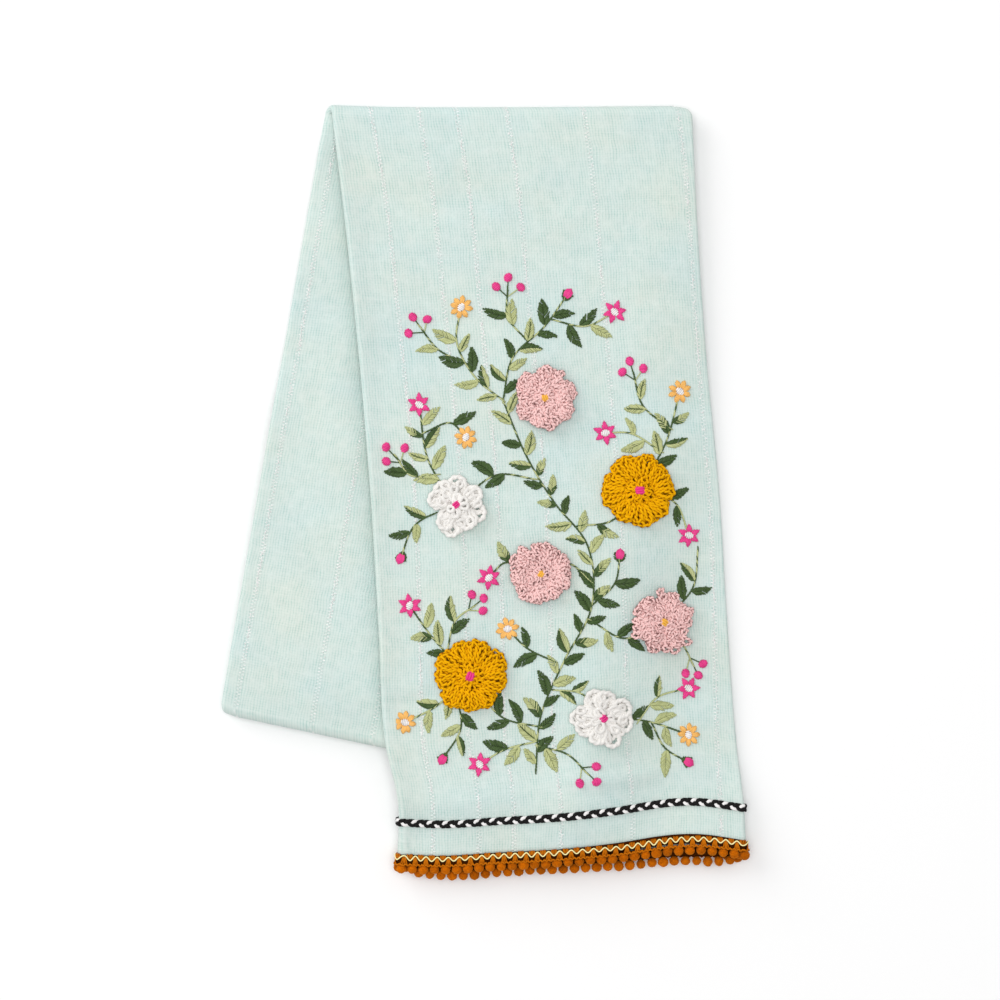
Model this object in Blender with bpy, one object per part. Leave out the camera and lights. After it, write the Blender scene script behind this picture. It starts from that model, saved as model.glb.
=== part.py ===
"""A dish towel of aqua slub cotton, lying face up: folded in thirds along its length, folded over at the top,
and its far end turned under. A plait and a pom-pom trim are sewn across its front end, and crochet flowers on
its face.

Metres. +X is to the right, +Y runs up to the top fold and +Z is up. The origin is on the surface that the
towel lies on, under the middle of its outline."""

import math
from typing import NamedTuple

import bpy
import numpy as np
from mathutils import Vector

MM = 0.001

# Cloth
CLOTH = 1.0 * MM
CUT_LENGTH = 711 * MM
PANEL = 153 * MM  # width of the folded thirds, from fold to fold
LAYER_STEP = 1.4 * MM  # between the middles of two layers that lie together
TURN = 2.5 * MM  # radius of the inner layer in a crosswise fold
INNER_EDGE = 5.0 * MM  # from the left fold to the long edge that lies between the other two layers
OUTER_EDGE = 1.5 * MM  # from the right fold to the long edge that lies undermost
REAR_TOP_LEFT = -69.0 * MM  # the back's side folds where it leaves the top fold
REAR_TOP_RIGHT = 84.0 * MM
FLAP_LEAN = math.radians(12)  # of the turned-under end, from straight up
CORNER = 8 * MM  # length of a rounded corner
CORNER_DEPTH = 1.2 * MM

# How the front sinks from what is folded beneath it, and opens at its end to make room for the trims
FRONT_RUN_OUT = 50 * MM
BACK_RUN_OUT = 45 * MM
TRIM_LIFT = 1.65 * MM  # of the undermost layer over its trims
TRIM_ROOM = 1.6 * MM  # more between the two lower layers, for the trims between them
BALL_ROOM = 2.0 * MM  # more between the upper layers at the end, for the balls
LOWER_BALL_ROOM = 0.4 * MM  # more than the trims' room between the lower ones there
TRIM_REACH = (20 * MM, 44 * MM)  # distances from the end over which the trims' room closes
BALL_REACH = (0.0, 25 * MM)
SKEW_REACH = 60 * MM  # from the end to where the layers no longer slip past each other

# Trims
SEWN_GAP = 0.48 * MM  # between the cloth and what is sewn on it
BRAID_FROM_END = 17.2 * MM  # to the plait's middle
BRAID_WIDTH = 3.5 * MM
BRAID_THICKNESS = 1.0 * MM
HEADING_TOP = 3.4 * MM  # the pom-pom trim's upper edge, above the cloth's end
HEADING_FOOT = -1.4 * MM
HEADING_THICKNESS = 1.0 * MM
HEADING_BACK = -0.35 * MM
BALL_PITCH = 4.8 * MM
BALL_TIP = -5.0 * MM
BALL_NOTCH = -2.8 * MM  # how deep the scallop between two balls reaches
BALL_HALF = 1.2 * MM
TIP_HALF = 0.8 * MM

# Crochet flowers
FLOWER_GAP = 0.75 * MM
SCALLOP = 0.14  # depth of the notch between two petals, as a share of the radius
STEPS_PER_PETAL = 4


class SideEdges(NamedTuple):
    """Where the two side folds lie at one height up the towel."""

    y: float
    left: float
    right: float


class EndLine(NamedTuple):
    """How the cloth's front end waves: its height at one share of the way across."""

    across: float
    y: float


class Skew(NamedTuple):
    """How far one layer's end slips past the top layer's, at one share of the way across."""

    across: float
    inner: float
    outer: float


class Corners(NamedTuple):
    """A four-sided outline, anticlockwise from its lower left corner."""

    lower_left: tuple
    lower_right: tuple
    upper_right: tuple
    upper_left: tuple


class Flower(NamedTuple):
    """A crochet flower: its place on the front, its size and its yarn."""

    node: str
    x: float
    y: float
    diameter: float
    height: float
    petals: int
    colour: tuple


FRONT_SIDES = [
    SideEdges(-160 * MM, -37.8 * MM, 113.0 * MM),
    SideEdges(-132 * MM, -37.3 * MM, 111.7 * MM),
    SideEdges(-108 * MM, -42.4 * MM, 109.0 * MM),
    SideEdges(-60 * MM, -45.4 * MM, 105.3 * MM),
    SideEdges(0, -49.0 * MM, 101.6 * MM),
    SideEdges(60 * MM, -54.3 * MM, 95.8 * MM),
    SideEdges(110 * MM, -59.4 * MM, 92.2 * MM),
    SideEdges(162 * MM, -65.6 * MM, 89.6 * MM),
]
FRONT_END = [
    EndLine(0.00, -158.2 * MM),
    EndLine(0.12, -159.0 * MM),
    EndLine(0.29, -157.3 * MM),
    EndLine(0.43, -156.0 * MM),
    EndLine(0.61, -153.4 * MM),
    EndLine(0.87, -149.8 * MM),
    EndLine(1.00, -152.6 * MM),
]
TOP_FOLD = [
    EndLine(0.00, 163.4 * MM),
    EndLine(0.10, 162.8 * MM),
    EndLine(0.50, 162.4 * MM),
    EndLine(0.85, 162.8 * MM),
    EndLine(1.00, 163.0 * MM),
]
LAYER_SKEW = [
    Skew(0.00, -1.0 * MM, 0.0),
    Skew(0.10, -2.4 * MM, -0.2 * MM),
    Skew(0.20, -3.2 * MM, -0.4 * MM),
    Skew(0.40, -3.1 * MM, -0.6 * MM),
    Skew(0.60, -4.2 * MM, -1.0 * MM),
    Skew(0.75, -5.4 * MM, -1.5 * MM),
    Skew(0.88, -5.6 * MM, -2.0 * MM),
    Skew(0.96, -3.4 * MM, -2.4 * MM),
    Skew(1.00, 0.0, -2.6 * MM),
]
BACK = Corners(
    lower_left=(-113.3 * MM, -95.2 * MM),
    lower_right=(36.1 * MM, -126.7 * MM),
    upper_right=(84.5 * MM, 166.0 * MM),
    upper_left=(-69.5 * MM, 166.0 * MM),
)
MUSTARD = (0.84, 0.38, 0.004)
WHITE = (0.87, 0.84, 0.78)
PINK = (0.73, 0.34, 0.36)

FLOWERS = [
    Flower("flower_mustard_low", -6 * MM, -78 * MM, 32 * MM, 4.6 * MM, 6, MUSTARD),
    Flower("flower_white_low", 50 * MM, -96 * MM, 28 * MM, 4.4 * MM, 6, WHITE),
    Flower("flower_pink_low", 76 * MM, -55 * MM, 26 * MM, 4.2 * MM, 5, PINK),
    Flower("flower_pink_mid", 24 * MM, -34 * MM, 26 * MM, 4.2 * MM, 5, PINK),
    Flower("flower_mustard_high", 66 * MM, 1 * MM, 32 * MM, 4.6 * MM, 6, MUSTARD),
    Flower("flower_white_high", -12 * MM, -5 * MM, 28 * MM, 4.4 * MM, 6, WHITE),
    Flower("flower_pink_top", 26 * MM, 41 * MM, 26 * MM, 4.2 * MM, 5, PINK),
]

# The cloth's stretches, in the order in which its section and its length run through them
INNER, RIGHT_FOLD, MIDDLE, LEFT_FOLD, OUTER = range(5)
FRONT, OVER_FOLD, REAR, UNDER_FOLD, FLAP = range(5)

STATION_STEP = 4 * BALL_PITCH
STATIONS = [9.3 * MM + i * STATION_STEP for i in range(8)]  # from the left fold, shared by the three layers
RIGHT_FOLD_STEPS = 3
LEFT_FOLD_STEPS = 5
CROSS_FOLD_STEPS = 5
FRONT_ROWS = [d * MM for d in (-6, 0, 10, 20, 30, 42, 56, 74, 96, 122, 150, 180, 212, 246, 282)]
REAR_ROWS = 7
FLAP_ROWS = 3


def ease(t):
    """0 to 1 with level ends."""
    t = min(max(t, 0.0), 1.0)
    return t * t * (3 - 2 * t)


def mix(a, b, t):
    return a + (b - a) * t


def read(rows, key, value, at):
    """A table's value at any place, on a smooth curve through its rows."""
    places = np.array([getattr(row, key) for row in rows])
    values = np.array([getattr(row, value) for row in rows])
    slopes = np.gradient(values, places)
    i = int(np.clip(np.searchsorted(places, at) - 1, 0, len(places) - 2))
    span = places[i + 1] - places[i]
    t = (at - places[i]) / span
    if not 0 <= t <= 1:
        end = 0 if t < 0 else -1
        return float(values[end] + slopes[end] * (at - places[end]))
    t2, t3 = t * t, t * t * t
    return float(
        (2 * t3 - 3 * t2 + 1) * values[i]
        + (t3 - 2 * t2 + t) * span * slopes[i]
        + (3 * t2 - 2 * t3) * values[i + 1]
        + (t3 - t2) * span * slopes[i + 1]
    )


def cover(outline, x, y, run_out):
    """1 on an outline, falling softly to 0 at run_out outside it."""
    outside = []
    for i, start in enumerate(outline):
        end = outline[(i + 1) % 4]
        run = (end[0] - start[0], end[1] - start[1])
        away = ((x - start[0]) * run[1] - (y - start[1]) * run[0]) / math.hypot(*run)
        outside.append(max(0.0, away))
    return 1 - ease(math.hypot(*outside) / run_out)


def corner_cut(from_corner):
    """How far a rounded corner falls back, at a distance along the fold from it."""
    return CORNER_DEPTH * max(0.0, 1 - from_corner / CORNER) ** 2


def end_y(across):
    return read(FRONT_END, "across", "y", across)


def top_y(across):
    return read(TOP_FOLD, "across", "y", across) - corner_cut((1 - across) * PANEL)


def front_x(across, y):
    return mix(read(FRONT_SIDES, "y", "left", y), read(FRONT_SIDES, "y", "right", y), across)


def rear_top(across):
    """Where a lengthwise thread starts down the back, just under the top fold."""
    return np.array([mix(REAR_TOP_LEFT, REAR_TOP_RIGHT, across), top_y(across)])


def rear_foot(across):
    """Where it reaches the fold that turns the far end under."""
    inset = TURN + LAYER_STEP + CLOTH / 2
    x = mix(BACK.lower_left[0], BACK.lower_right[0], across)
    y = mix(BACK.lower_left[1], BACK.lower_right[1], across)
    return np.array([x, y + inset + corner_cut(across * PANEL)])


def flap_length(across):
    """What is left of the cut length past the front, the back and the two folds."""
    top = np.array([front_x(across, top_y(across)), top_y(across)])
    end = np.array([front_x(across, end_y(across)), end_y(across)])
    used = np.linalg.norm(top - end) + np.linalg.norm(rear_top(across) - rear_foot(across))
    return CUT_LENGTH - used - 2 * math.pi * TURN


def flap_end(across):
    way = np.array([math.sin(FLAP_LEAN), math.cos(FLAP_LEAN)])
    return rear_foot(across) + way * flap_length(across)


FLAP_OUTLINE = Corners(BACK.lower_left, BACK.lower_right, tuple(flap_end(1)), tuple(flap_end(0)))


def room_over(from_end):
    """Between the middles of the top layer and the inner one."""
    return LAYER_STEP + BALL_ROOM * fade(from_end, BALL_REACH)


def room_under(from_end):
    """Between the middles of the inner layer and the outer one, whose faces hold the trims."""
    trims = TRIM_ROOM * fade(from_end, TRIM_REACH)
    return LAYER_STEP + trims + LOWER_BALL_ROOM * fade(from_end, BALL_REACH)


def fade(from_end, reach):
    return 1 - ease((from_end - reach[0]) / (reach[1] - reach[0]))


def flap_z():
    """Height of the inner layer where the outer one lies on the surface."""
    return CLOTH / 2 + LAYER_STEP


def rear_z(x, y):
    return flap_z() + 2 * TURN * cover(FLAP_OUTLINE, x, y, BACK_RUN_OUT)


def front_z(x, y, from_end):
    beneath = cover(BACK, x, y, FRONT_RUN_OUT) + cover(FLAP_OUTLINE, x, y, BACK_RUN_OUT)
    lift = TRIM_LIFT * fade(from_end, TRIM_REACH)
    return CLOTH / 2 + lift + room_under(from_end) + 2 * TURN * beneath


def section(stretch, place, from_end):
    """The folded thirds' section: distance from the left fold, and height over the inner layer. The place is
    a distance from the left fold on a layer, or a share of the turn in a fold."""
    over, under = room_over(from_end), room_under(from_end)
    right, left = over / 2, (over + under) / 2
    right_axis = PANEL - CLOTH / 2 - right
    left_axis = CLOTH / 2 + left
    angle = math.pi * place
    if stretch == RIGHT_FOLD:
        return right_axis + right * math.sin(angle), right * (1 - math.cos(angle))
    if stretch == LEFT_FOLD:
        return left_axis - left * math.sin(angle), over - left * (1 - math.cos(angle))
    return place, {INNER: 0.0, MIDDLE: over, OUTER: -under}[stretch]


def slip(stretch, across):
    """How far a layer's end slips past the top layer's."""
    if stretch not in (INNER, OUTER):
        return 0.0
    return read(LAYER_SKEW, "across", "inner" if stretch == INNER else "outer", across)


def cloth_point(column, row):
    """A point in the middle of the cloth's thickness, from its place across and along."""
    stretch, part = row
    from_end = part if stretch == FRONT else CUT_LENGTH
    distance, height = section(*column, from_end)
    across = distance / PANEL
    if stretch == FRONT:
        y = mix(end_y(across), top_y(across), part / (top_y(0.5) - end_y(0.5)))
        x = front_x(across, y)
        y += slip(column[0], across) * (1 - ease(from_end / SKEW_REACH))
        return x, y, front_z(x, y, from_end) + height
    top, foot, end = rear_top(across), rear_foot(across), flap_end(across)
    if stretch == OVER_FOLD:
        front = front_x(across, top[1])
        upper, lower = front_z(front, top[1], from_end), rear_z(*top)
        y, z = half_turn(top[1], upper, lower, height, part)
        return mix(front, top[0], ease(part)), y, z
    if stretch == REAR:
        x, y = mix(top, foot, part)
        return x, y, rear_z(x, y) - height
    if stretch == UNDER_FOLD:
        y, z = half_turn(-foot[1], rear_z(*foot), flap_z(), -height, part)
        return foot[0], -y, z
    x, y = mix(foot, end, part)
    return x, y, flap_z() + height


def half_turn(y, upper, lower, height, part):
    """A crosswise fold's y and z, the fold bulging towards +y."""
    radius = (upper - lower) / 2 + height
    angle = math.pi * part
    return y + radius * math.sin(angle), (upper + lower) / 2 + radius * math.cos(angle)


def columns_of():
    """Every place across at which the cloth has a column of points."""
    inner = [INNER_EDGE, *STATIONS]
    outer = [*STATIONS, PANEL - OUTER_EDGE]
    columns = [(INNER, s) for s in inner]
    columns += [(RIGHT_FOLD, i / RIGHT_FOLD_STEPS) for i in range(RIGHT_FOLD_STEPS + 1)]
    columns += [(MIDDLE, s) for s in reversed(STATIONS)]
    columns += [(LEFT_FOLD, i / LEFT_FOLD_STEPS) for i in range(LEFT_FOLD_STEPS + 1)]
    return columns + [(OUTER, s) for s in outer]


def rows_of():
    """Every place along at which it has a row of them. The first is a guide for the balls, past the end."""
    rows = [(FRONT, d) for d in FRONT_ROWS]
    rows += [(OVER_FOLD, i / CROSS_FOLD_STEPS) for i in range(CROSS_FOLD_STEPS + 1)]
    rows += [(REAR, (i + 1) / (REAR_ROWS + 1)) for i in range(REAR_ROWS)]
    rows += [(UNDER_FOLD, i / CROSS_FOLD_STEPS) for i in range(CROSS_FOLD_STEPS + 1)]
    return rows + [(FLAP, (i + 1) / FLAP_ROWS) for i in range(FLAP_ROWS)]


COLUMNS = columns_of()
ROWS = rows_of()
POINTS = np.array([[cloth_point(column, row) for row in ROWS] for column in COLUMNS])
NORMALS = np.cross(np.gradient(POINTS, axis=1), np.gradient(POINTS, axis=0))
NORMALS /= np.linalg.norm(NORMALS, axis=2, keepdims=True)


def falls_back(column):
    """Whether a cell's diagonal runs the other way, so that it lies over those of the layers beneath."""
    return COLUMNS[column][0] in (RIGHT_FOLD, MIDDLE)


def between(grid, column, row):
    """A value between the grid's points, on the two triangles of the cell that holds the place."""
    i = min(int(column), len(COLUMNS) - 2)
    j = min(int(row), len(ROWS) - 2)
    s, t = column - i, row - j
    a, b, c, d = grid[i, j], grid[i + 1, j], grid[i + 1, j + 1], grid[i, j + 1]
    if falls_back(i):
        return a + s * (b - a) + t * (c - b) if s > t else a + t * (d - a) + s * (c - d)
    return a + s * (b - a) + t * (d - a) if s + t < 1 else c + (1 - s) * (d - c) + (1 - t) * (b - c)


def over_cloth(column, from_end, lift):
    """A point over the cloth's face near its front end. The lift starts at the middle of its thickness."""
    row = float(np.interp(from_end, FRONT_ROWS, range(len(FRONT_ROWS))))
    normal = between(NORMALS, column, row)
    return Vector(between(POINTS, column, row) + normal / np.linalg.norm(normal) * lift)


def over_front(x, y, lift):
    """A point over the top layer, from its place in plan."""
    left, right = front_x(0, y), front_x(1, y)
    across = (x - left) / (right - left)
    share = (y - end_y(across)) / (top_y(across) - end_y(across))
    stations = [STATIONS[0] / PANEL, STATIONS[-1] / PANEL]
    last = COLUMNS.index((MIDDLE, STATIONS[0]))
    first = COLUMNS.index((MIDDLE, STATIONS[-1]))
    column = float(np.interp(across, stations, [last, first]))
    return over_cloth(column, share * (top_y(0.5) - end_y(0.5)), lift)


def new_object(name, verts, faces, colour, roughness):
    mesh = bpy.data.meshes.new(name)
    mesh.from_pydata(verts, [], faces)
    mesh.update()
    material = bpy.data.materials.new(name)
    material.use_nodes = True
    shader = material.node_tree.nodes["Principled BSDF"]
    shader.inputs["Base Color"].default_value = (*colour, 1)
    shader.inputs["Roughness"].default_value = roughness
    mesh.materials.append(material)
    obj = bpy.data.objects.new(name, mesh)
    bpy.context.scene.collection.objects.link(obj)
    return obj


def make_cloth():
    """One sheet, given its thickness by a Solidify."""
    sheet = POINTS[:, 1:]
    columns, rows = sheet.shape[:2]
    faces = []
    for i in range(columns - 1):
        for j in range(rows - 1):
            a = i * rows + j
            b, c, d = a + rows, a + rows + 1, a + 1
            faces += [(a, d, c), (a, c, b)] if falls_back(i) else [(a, d, b), (b, d, c)]
    towel = new_object("towel_cloth", sheet.reshape(-1, 3).tolist(), faces, (0.66, 0.79, 0.75), 0.9)
    thickness = towel.modifiers.new("thickness", "SOLIDIFY")
    thickness.thickness = CLOTH
    thickness.offset = 0
    thickness.use_even_offset = True


def sweep(name, rings, colour):
    """A closed solid through rings of the same number of points, listed clockwise as seen from its start."""
    n = len(rings[0])
    faces = [
        (i * n + k, i * n + (k + 1) % n, (i + 1) * n + (k + 1) % n, (i + 1) * n + k)
        for i in range(len(rings) - 1)
        for k in range(n)
    ]
    last = (len(rings) - 1) * n
    faces += [tuple(reversed(range(n))), tuple(range(last, last + n))]
    new_object(name, [point for ring in rings for point in ring], faces, colour, 0.85)


def make_braid():
    low = BRAID_FROM_END - BRAID_WIDTH / 2
    high = BRAID_FROM_END + BRAID_WIDTH / 2
    under = CLOTH / 2 + SEWN_GAP
    over = under + BRAID_THICKNESS
    section_points = [(low, under), (low, over), (high, over), (high, under)]
    quarters = range(4 * (len(COLUMNS) - 1) + 1)
    rings = [[over_cloth(k / 4, from_end, lift) for from_end, lift in section_points] for k in quarters]
    sweep("braid_trim", rings, (0.05, 0.05, 0.055))


def tooth_columns():
    """Places half a ball's pitch apart along the cloth's end, as column numbers."""
    places = []
    for i in range(len(COLUMNS) - 1):
        length = np.linalg.norm(POINTS[i + 1, 1] - POINTS[i, 1])
        steps = max(1, round(length / (BALL_PITCH / 2)))
        places += [i + step / steps for step in range(steps)]
    return [*places, len(COLUMNS) - 1]


def make_pompom_trim():
    """One comb: the sewn heading, and a tooth for each ball."""
    under = CLOTH / 2 + SEWN_GAP
    over = under + HEADING_THICKNESS
    rings = []
    for number, column in enumerate(tooth_columns()):
        tip = BALL_TIP if number % 2 else BALL_NOTCH
        section_points = [
            (HEADING_BACK, under),
            (HEADING_FOOT, -BALL_HALF),
            (tip, -TIP_HALF),
            (tip, TIP_HALF),
            (HEADING_FOOT, BALL_HALF),
            (HEADING_TOP, over),
            (HEADING_TOP, under),
        ]
        rings.append([over_cloth(column, from_end, lift) for from_end, lift in section_points])
    sweep("pompom_trim", rings, (0.55, 0.13, 0.003))


def make_flower(flower):
    """A crowned disc with a scalloped rim, its underside following the cloth."""
    steps = flower.petals * STEPS_PER_PETAL
    base = CLOTH / 2 + FLOWER_GAP
    profile = [(0.55, 0.0), (0.95, 0.0), (1.0, 0.35), (0.62, 0.85), (0.3, 0.62)]  # of radius and height
    verts = [over_front(flower.x, flower.y, base)]
    for radius_share, height_share in profile:
        for k in range(steps):
            angle = 2 * math.pi * k / steps
            notch = SCALLOP * (1 - abs(math.sin(flower.petals * angle / 2)))
            radius = flower.diameter / 2 * radius_share * (1 - notch)
            x = flower.x + radius * math.cos(angle)
            y = flower.y + radius * math.sin(angle)
            verts.append(over_front(x, y, base + height_share * flower.height))
    verts.append(over_front(flower.x, flower.y, base + flower.height))
    faces = []
    for k in range(steps):
        after = (k + 1) % steps
        faces.append((0, 1 + after, 1 + k))
        for ring in range(len(profile) - 1):
            low = 1 + ring * steps
            high = low + steps
            faces.append((low + k, low + after, high + after, high + k))
        last = 1 + (len(profile) - 1) * steps
        faces.append((last + k, last + after, len(verts) - 1))
    new_object(flower.node, verts, faces, flower.colour, 0.85)


for startup_object in list(bpy.data.objects):
    bpy.data.objects.remove(startup_object)
make_cloth()
make_braid()
make_pompom_trim()
for flower_row in FLOWERS:
    make_flower(flower_row)
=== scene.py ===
"""Looks of a folded dish towel: aqua slub cotton with embroidered sprays and crochet flowers on its face,
and a plait and a pom-pom trim across its front end. Metres; +Y runs up to the top fold and +Z is up."""

import math
from typing import NamedTuple

import bmesh
import bpy
import numpy as np
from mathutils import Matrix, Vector


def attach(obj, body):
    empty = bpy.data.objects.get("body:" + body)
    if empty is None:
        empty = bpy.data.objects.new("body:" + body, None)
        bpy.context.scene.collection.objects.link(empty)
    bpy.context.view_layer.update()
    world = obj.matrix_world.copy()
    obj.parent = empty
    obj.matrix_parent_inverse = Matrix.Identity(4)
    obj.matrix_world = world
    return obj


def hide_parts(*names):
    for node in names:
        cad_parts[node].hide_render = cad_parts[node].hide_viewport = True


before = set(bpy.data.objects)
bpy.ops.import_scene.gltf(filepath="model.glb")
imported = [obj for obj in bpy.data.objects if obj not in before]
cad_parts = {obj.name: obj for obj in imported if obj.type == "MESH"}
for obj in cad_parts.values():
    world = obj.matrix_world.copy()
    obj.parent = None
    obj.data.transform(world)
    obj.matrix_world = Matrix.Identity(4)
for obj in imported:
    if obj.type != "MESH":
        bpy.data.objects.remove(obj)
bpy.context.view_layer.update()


# --------------------------------------------------------------------------------------------------
# Towel cloth. One cut length of plain-weave cotton, folded in thirds along its length with the inner third
# folded under first, then folded over at the top, and its far end turned under. Fancy white slub yarns are
# woven in with the warp, some way apart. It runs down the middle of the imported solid.
# --------------------------------------------------------------------------------------------------

MM = 0.001
CLOTH = 0.7 * MM
SOLID = 1.0 * MM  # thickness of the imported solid
CUT_LENGTH = 711 * MM
PANEL = 153 * MM  # width of the folded thirds, from fold to fold
LAYER_STEP = 1.4 * MM  # between the middles of two layers that lie together
TURN = 2.5 * MM  # radius of the inner layer in a crosswise fold
INNER_EDGE = 5.0 * MM  # from the left fold to the long edge that lies between the other two layers
OUTER_EDGE = 1.5 * MM  # from the right fold to the long edge that lies undermost
REAR_TOP_LEFT = -69.0 * MM  # the back's side folds where it leaves the top fold
REAR_TOP_RIGHT = 84.0 * MM
FLAP_LEAN = math.radians(12)  # of the turned-under end, from straight up
CORNER = 8 * MM  # length of a rounded corner
CORNER_DEPTH = 1.2 * MM
FRONT_RUN_OUT = 50 * MM  # over which the front sinks from the back's edges
BACK_RUN_OUT = 45 * MM
TRIM_LIFT = 1.65 * MM  # of the undermost layer over its trims
TRIM_ROOM = 1.6 * MM  # more between the two lower layers, for the trims between them
BALL_ROOM = 2.0 * MM  # more between the upper layers at the end, for the balls
LOWER_BALL_ROOM = 0.4 * MM
TRIM_REACH = (20 * MM, 44 * MM)  # distances from the end over which the trims' room closes
BALL_REACH = (0.0, 25 * MM)
SKEW_REACH = 60 * MM  # from the end to where the layers no longer slip past each other
EDGE_STANDS = 1.5 * MM  # the front's left fold, off the back's strip
EDGE_REACH = 6 * MM
SINK_ROOM = 1.5 * MM  # under the front, from where its creases can sink in full
CREASE_FADE = 0.3  # share of a crease's height that is lost from the top layer to the undermost
TOP_FADE = 14 * MM  # below the top fold, over which the front's creases run out
BACK_FADE = 0.06  # share of the back's length over which its creases run out at both ends
BACK_LOOSE = 0.25 * MM  # how far the back's layers stand up everywhere
PUFF = 5.0 * MM  # of the back's strip beside the front
PUFF_RISE = 5.5 * MM
PUFF_FALL = 26 * MM
CREASE_BOW = 0.06  # share of its length by which a crease bows aside
CREASE_PAST = 0.15  # share of its length by which it runs on past its ends
CREASE_RISE = 0.4  # share of its length over which it rises
SLACK_WAVES = 9
SLACK_LENGTHS = (24, 70)  # millimetres, of the slow waves in washed cotton
SLACK_HEIGHT = 0.045 * MM


class SideEdges(NamedTuple):
    """Where the two side folds lie at one height up the towel, in millimetres."""

    y: float
    left: float
    right: float


class EndLine(NamedTuple):
    """How an end waves: its height in millimetres at one share of the way across."""

    across: float
    y: float


class Skew(NamedTuple):
    """How far one layer's end slips past the top layer's, at one share of the way across."""

    across: float
    inner: float
    outer: float


class Crease(NamedTuple):
    """A soft ridge, or a trough where the height is below zero, from one place to another. Millimetres."""

    x0: float
    y0: float
    x1: float
    y1: float
    width: float
    height: float


class WarpSlide(NamedTuple):
    """How far the warp has slid to the right at one height, at the panel's left and right. Millimetres."""

    y: float
    left: float
    right: float


class Stripe(NamedTuple):
    """A pair of white slub yarns: its third, its distance from the left fold in millimetres, and how much of
    it floats."""

    third: int
    place: float
    floats: float


# The cloth's stretches, in the order in which its section and its length run through them
INNER, RIGHT_FOLD, MIDDLE, LEFT_FOLD, OUTER = range(5)
FRONT, OVER_FOLD, REAR, UNDER_FOLD, FLAP = range(5)

FRONT_SIDES = [
    SideEdges(-160, -37.8, 113.0),
    SideEdges(-132, -37.3, 111.7),
    SideEdges(-108, -42.4, 109.0),
    SideEdges(-60, -45.4, 105.3),
    SideEdges(0, -49.0, 101.6),
    SideEdges(60, -54.3, 95.8),
    SideEdges(110, -59.4, 92.2),
    SideEdges(162, -65.6, 89.6),
]
SIDES_TOP = FRONT_SIDES[-1].y  # millimetres
FRONT_END = [
    EndLine(0.00, -158.2),
    EndLine(0.12, -159.0),
    EndLine(0.29, -157.3),
    EndLine(0.43, -156.0),
    EndLine(0.61, -153.4),
    EndLine(0.87, -149.8),
    EndLine(1.00, -152.6),
]
TOP_FOLD = [
    EndLine(0.00, 163.4),
    EndLine(0.10, 162.8),
    EndLine(0.50, 162.4),
    EndLine(0.85, 162.8),
    EndLine(1.00, 163.0),
]
LAYER_SKEW = [
    Skew(0.00, -1.0, 0.0),
    Skew(0.10, -2.4, -0.2),
    Skew(0.20, -3.2, -0.4),
    Skew(0.40, -3.1, -0.6),
    Skew(0.60, -4.2, -1.0),
    Skew(0.75, -5.4, -1.5),
    Skew(0.88, -5.6, -2.0),
    Skew(0.96, -3.4, -2.4),
    Skew(1.00, 0.0, -2.6),
]
# The back's outline, anticlockwise from its lower left corner
BACK = [
    (-113.3 * MM, -95.2 * MM),
    (36.1 * MM, -126.7 * MM),
    (84.5 * MM, 166.0 * MM),
    (-69.5 * MM, 166.0 * MM),
]
WARP_SLIDES = [
    WarpSlide(-160, -0.5, -5.4),
    WarpSlide(-135, -1.2, -4.4),
    WarpSlide(-110, -0.4, -2.6),
    WarpSlide(-50, 1.6, 0.4),
    WarpSlide(20, 2.8, 1.5),
    WarpSlide(80, 2.4, 2.2),
    WarpSlide(135, 1.8, 1.8),
    WarpSlide(162, 0.0, 0.0),
]
FRONT_CREASES = [
    Crease(-30, 108, 30, 136, 9, 0.75),
    Crease(-16, 122, 26, 104, 6, -0.45),
    Crease(-8, 100, 44, 124, 6, 0.50),
    Crease(-44, 77, 80, 85, 3.0, -0.35),
    Crease(-30, 60, -4, 72, 7, 0.40),
    Crease(-34, -30, 34, -22, 6, 0.60),
    Crease(-4, -46, 38, -28, 5, -0.50),
    Crease(2, -66, 24, -52, 4, 0.50),
    Crease(20, -62, 96, -46, 7, 0.55),
    Crease(30, -121.5, 80, -116.5, 3.6, 1.7),
    Crease(36, -119, 100, -112, 6, 0.95),
    Crease(92, -108, 108, -128, 5, -1.1),
    Crease(66, -100, 104, -92, 6, 0.60),
    Crease(14, -122, 32, -112, 5, -0.55),
    Crease(-41, -91, -20, -86, 3.2, -0.75),
    Crease(-38, -84, -16, -78, 4, 0.55),
    Crease(-36, -132, 18, -128, 6, 0.60),
    Crease(70, 120, 84, 20, 7, 0.40),
    Crease(-52, 140, -44, 40, 6, 0.36),
]
REAR_CREASES = [
    Crease(-70, 120, -92, 10, 6, 0.50),
    Crease(-60, 90, -72, 20, 5, -0.40),
    Crease(-104, -60, -60, -78, 8, 0.60),
    Crease(-96, -20, -62, -34, 7, -0.40),
    Crease(-100, -84, -52, -98, 5, 0.50),
]
STRIPES = [
    Stripe(INNER, 24, 0.5),
    Stripe(INNER, 61, 0.7),
    Stripe(INNER, 96, 0.5),
    Stripe(INNER, 129, 0.8),
    Stripe(MIDDLE, 148.0, 0.75),
    Stripe(MIDDLE, 107.1, 0.45),
    Stripe(MIDDLE, 74.4, 0.8),
    Stripe(MIDDLE, 53.1, 0.9),
    Stripe(MIDDLE, 37.3, 0.5),
    Stripe(MIDDLE, 16.8, 0.95),
    Stripe(OUTER, 6.5, 0.8),
    Stripe(OUTER, 40.0, 0.7),
    Stripe(OUTER, 66.7, 0.6),
    Stripe(OUTER, 102.0, 0.5),
    Stripe(OUTER, 136.0, 0.7),
]


def ease(t):
    """0 to 1 with level ends."""
    t = np.clip(t, 0, 1)
    return t * t * (3 - 2 * t)


def mix(first, last, share):
    return first + (last - first) * share


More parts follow.
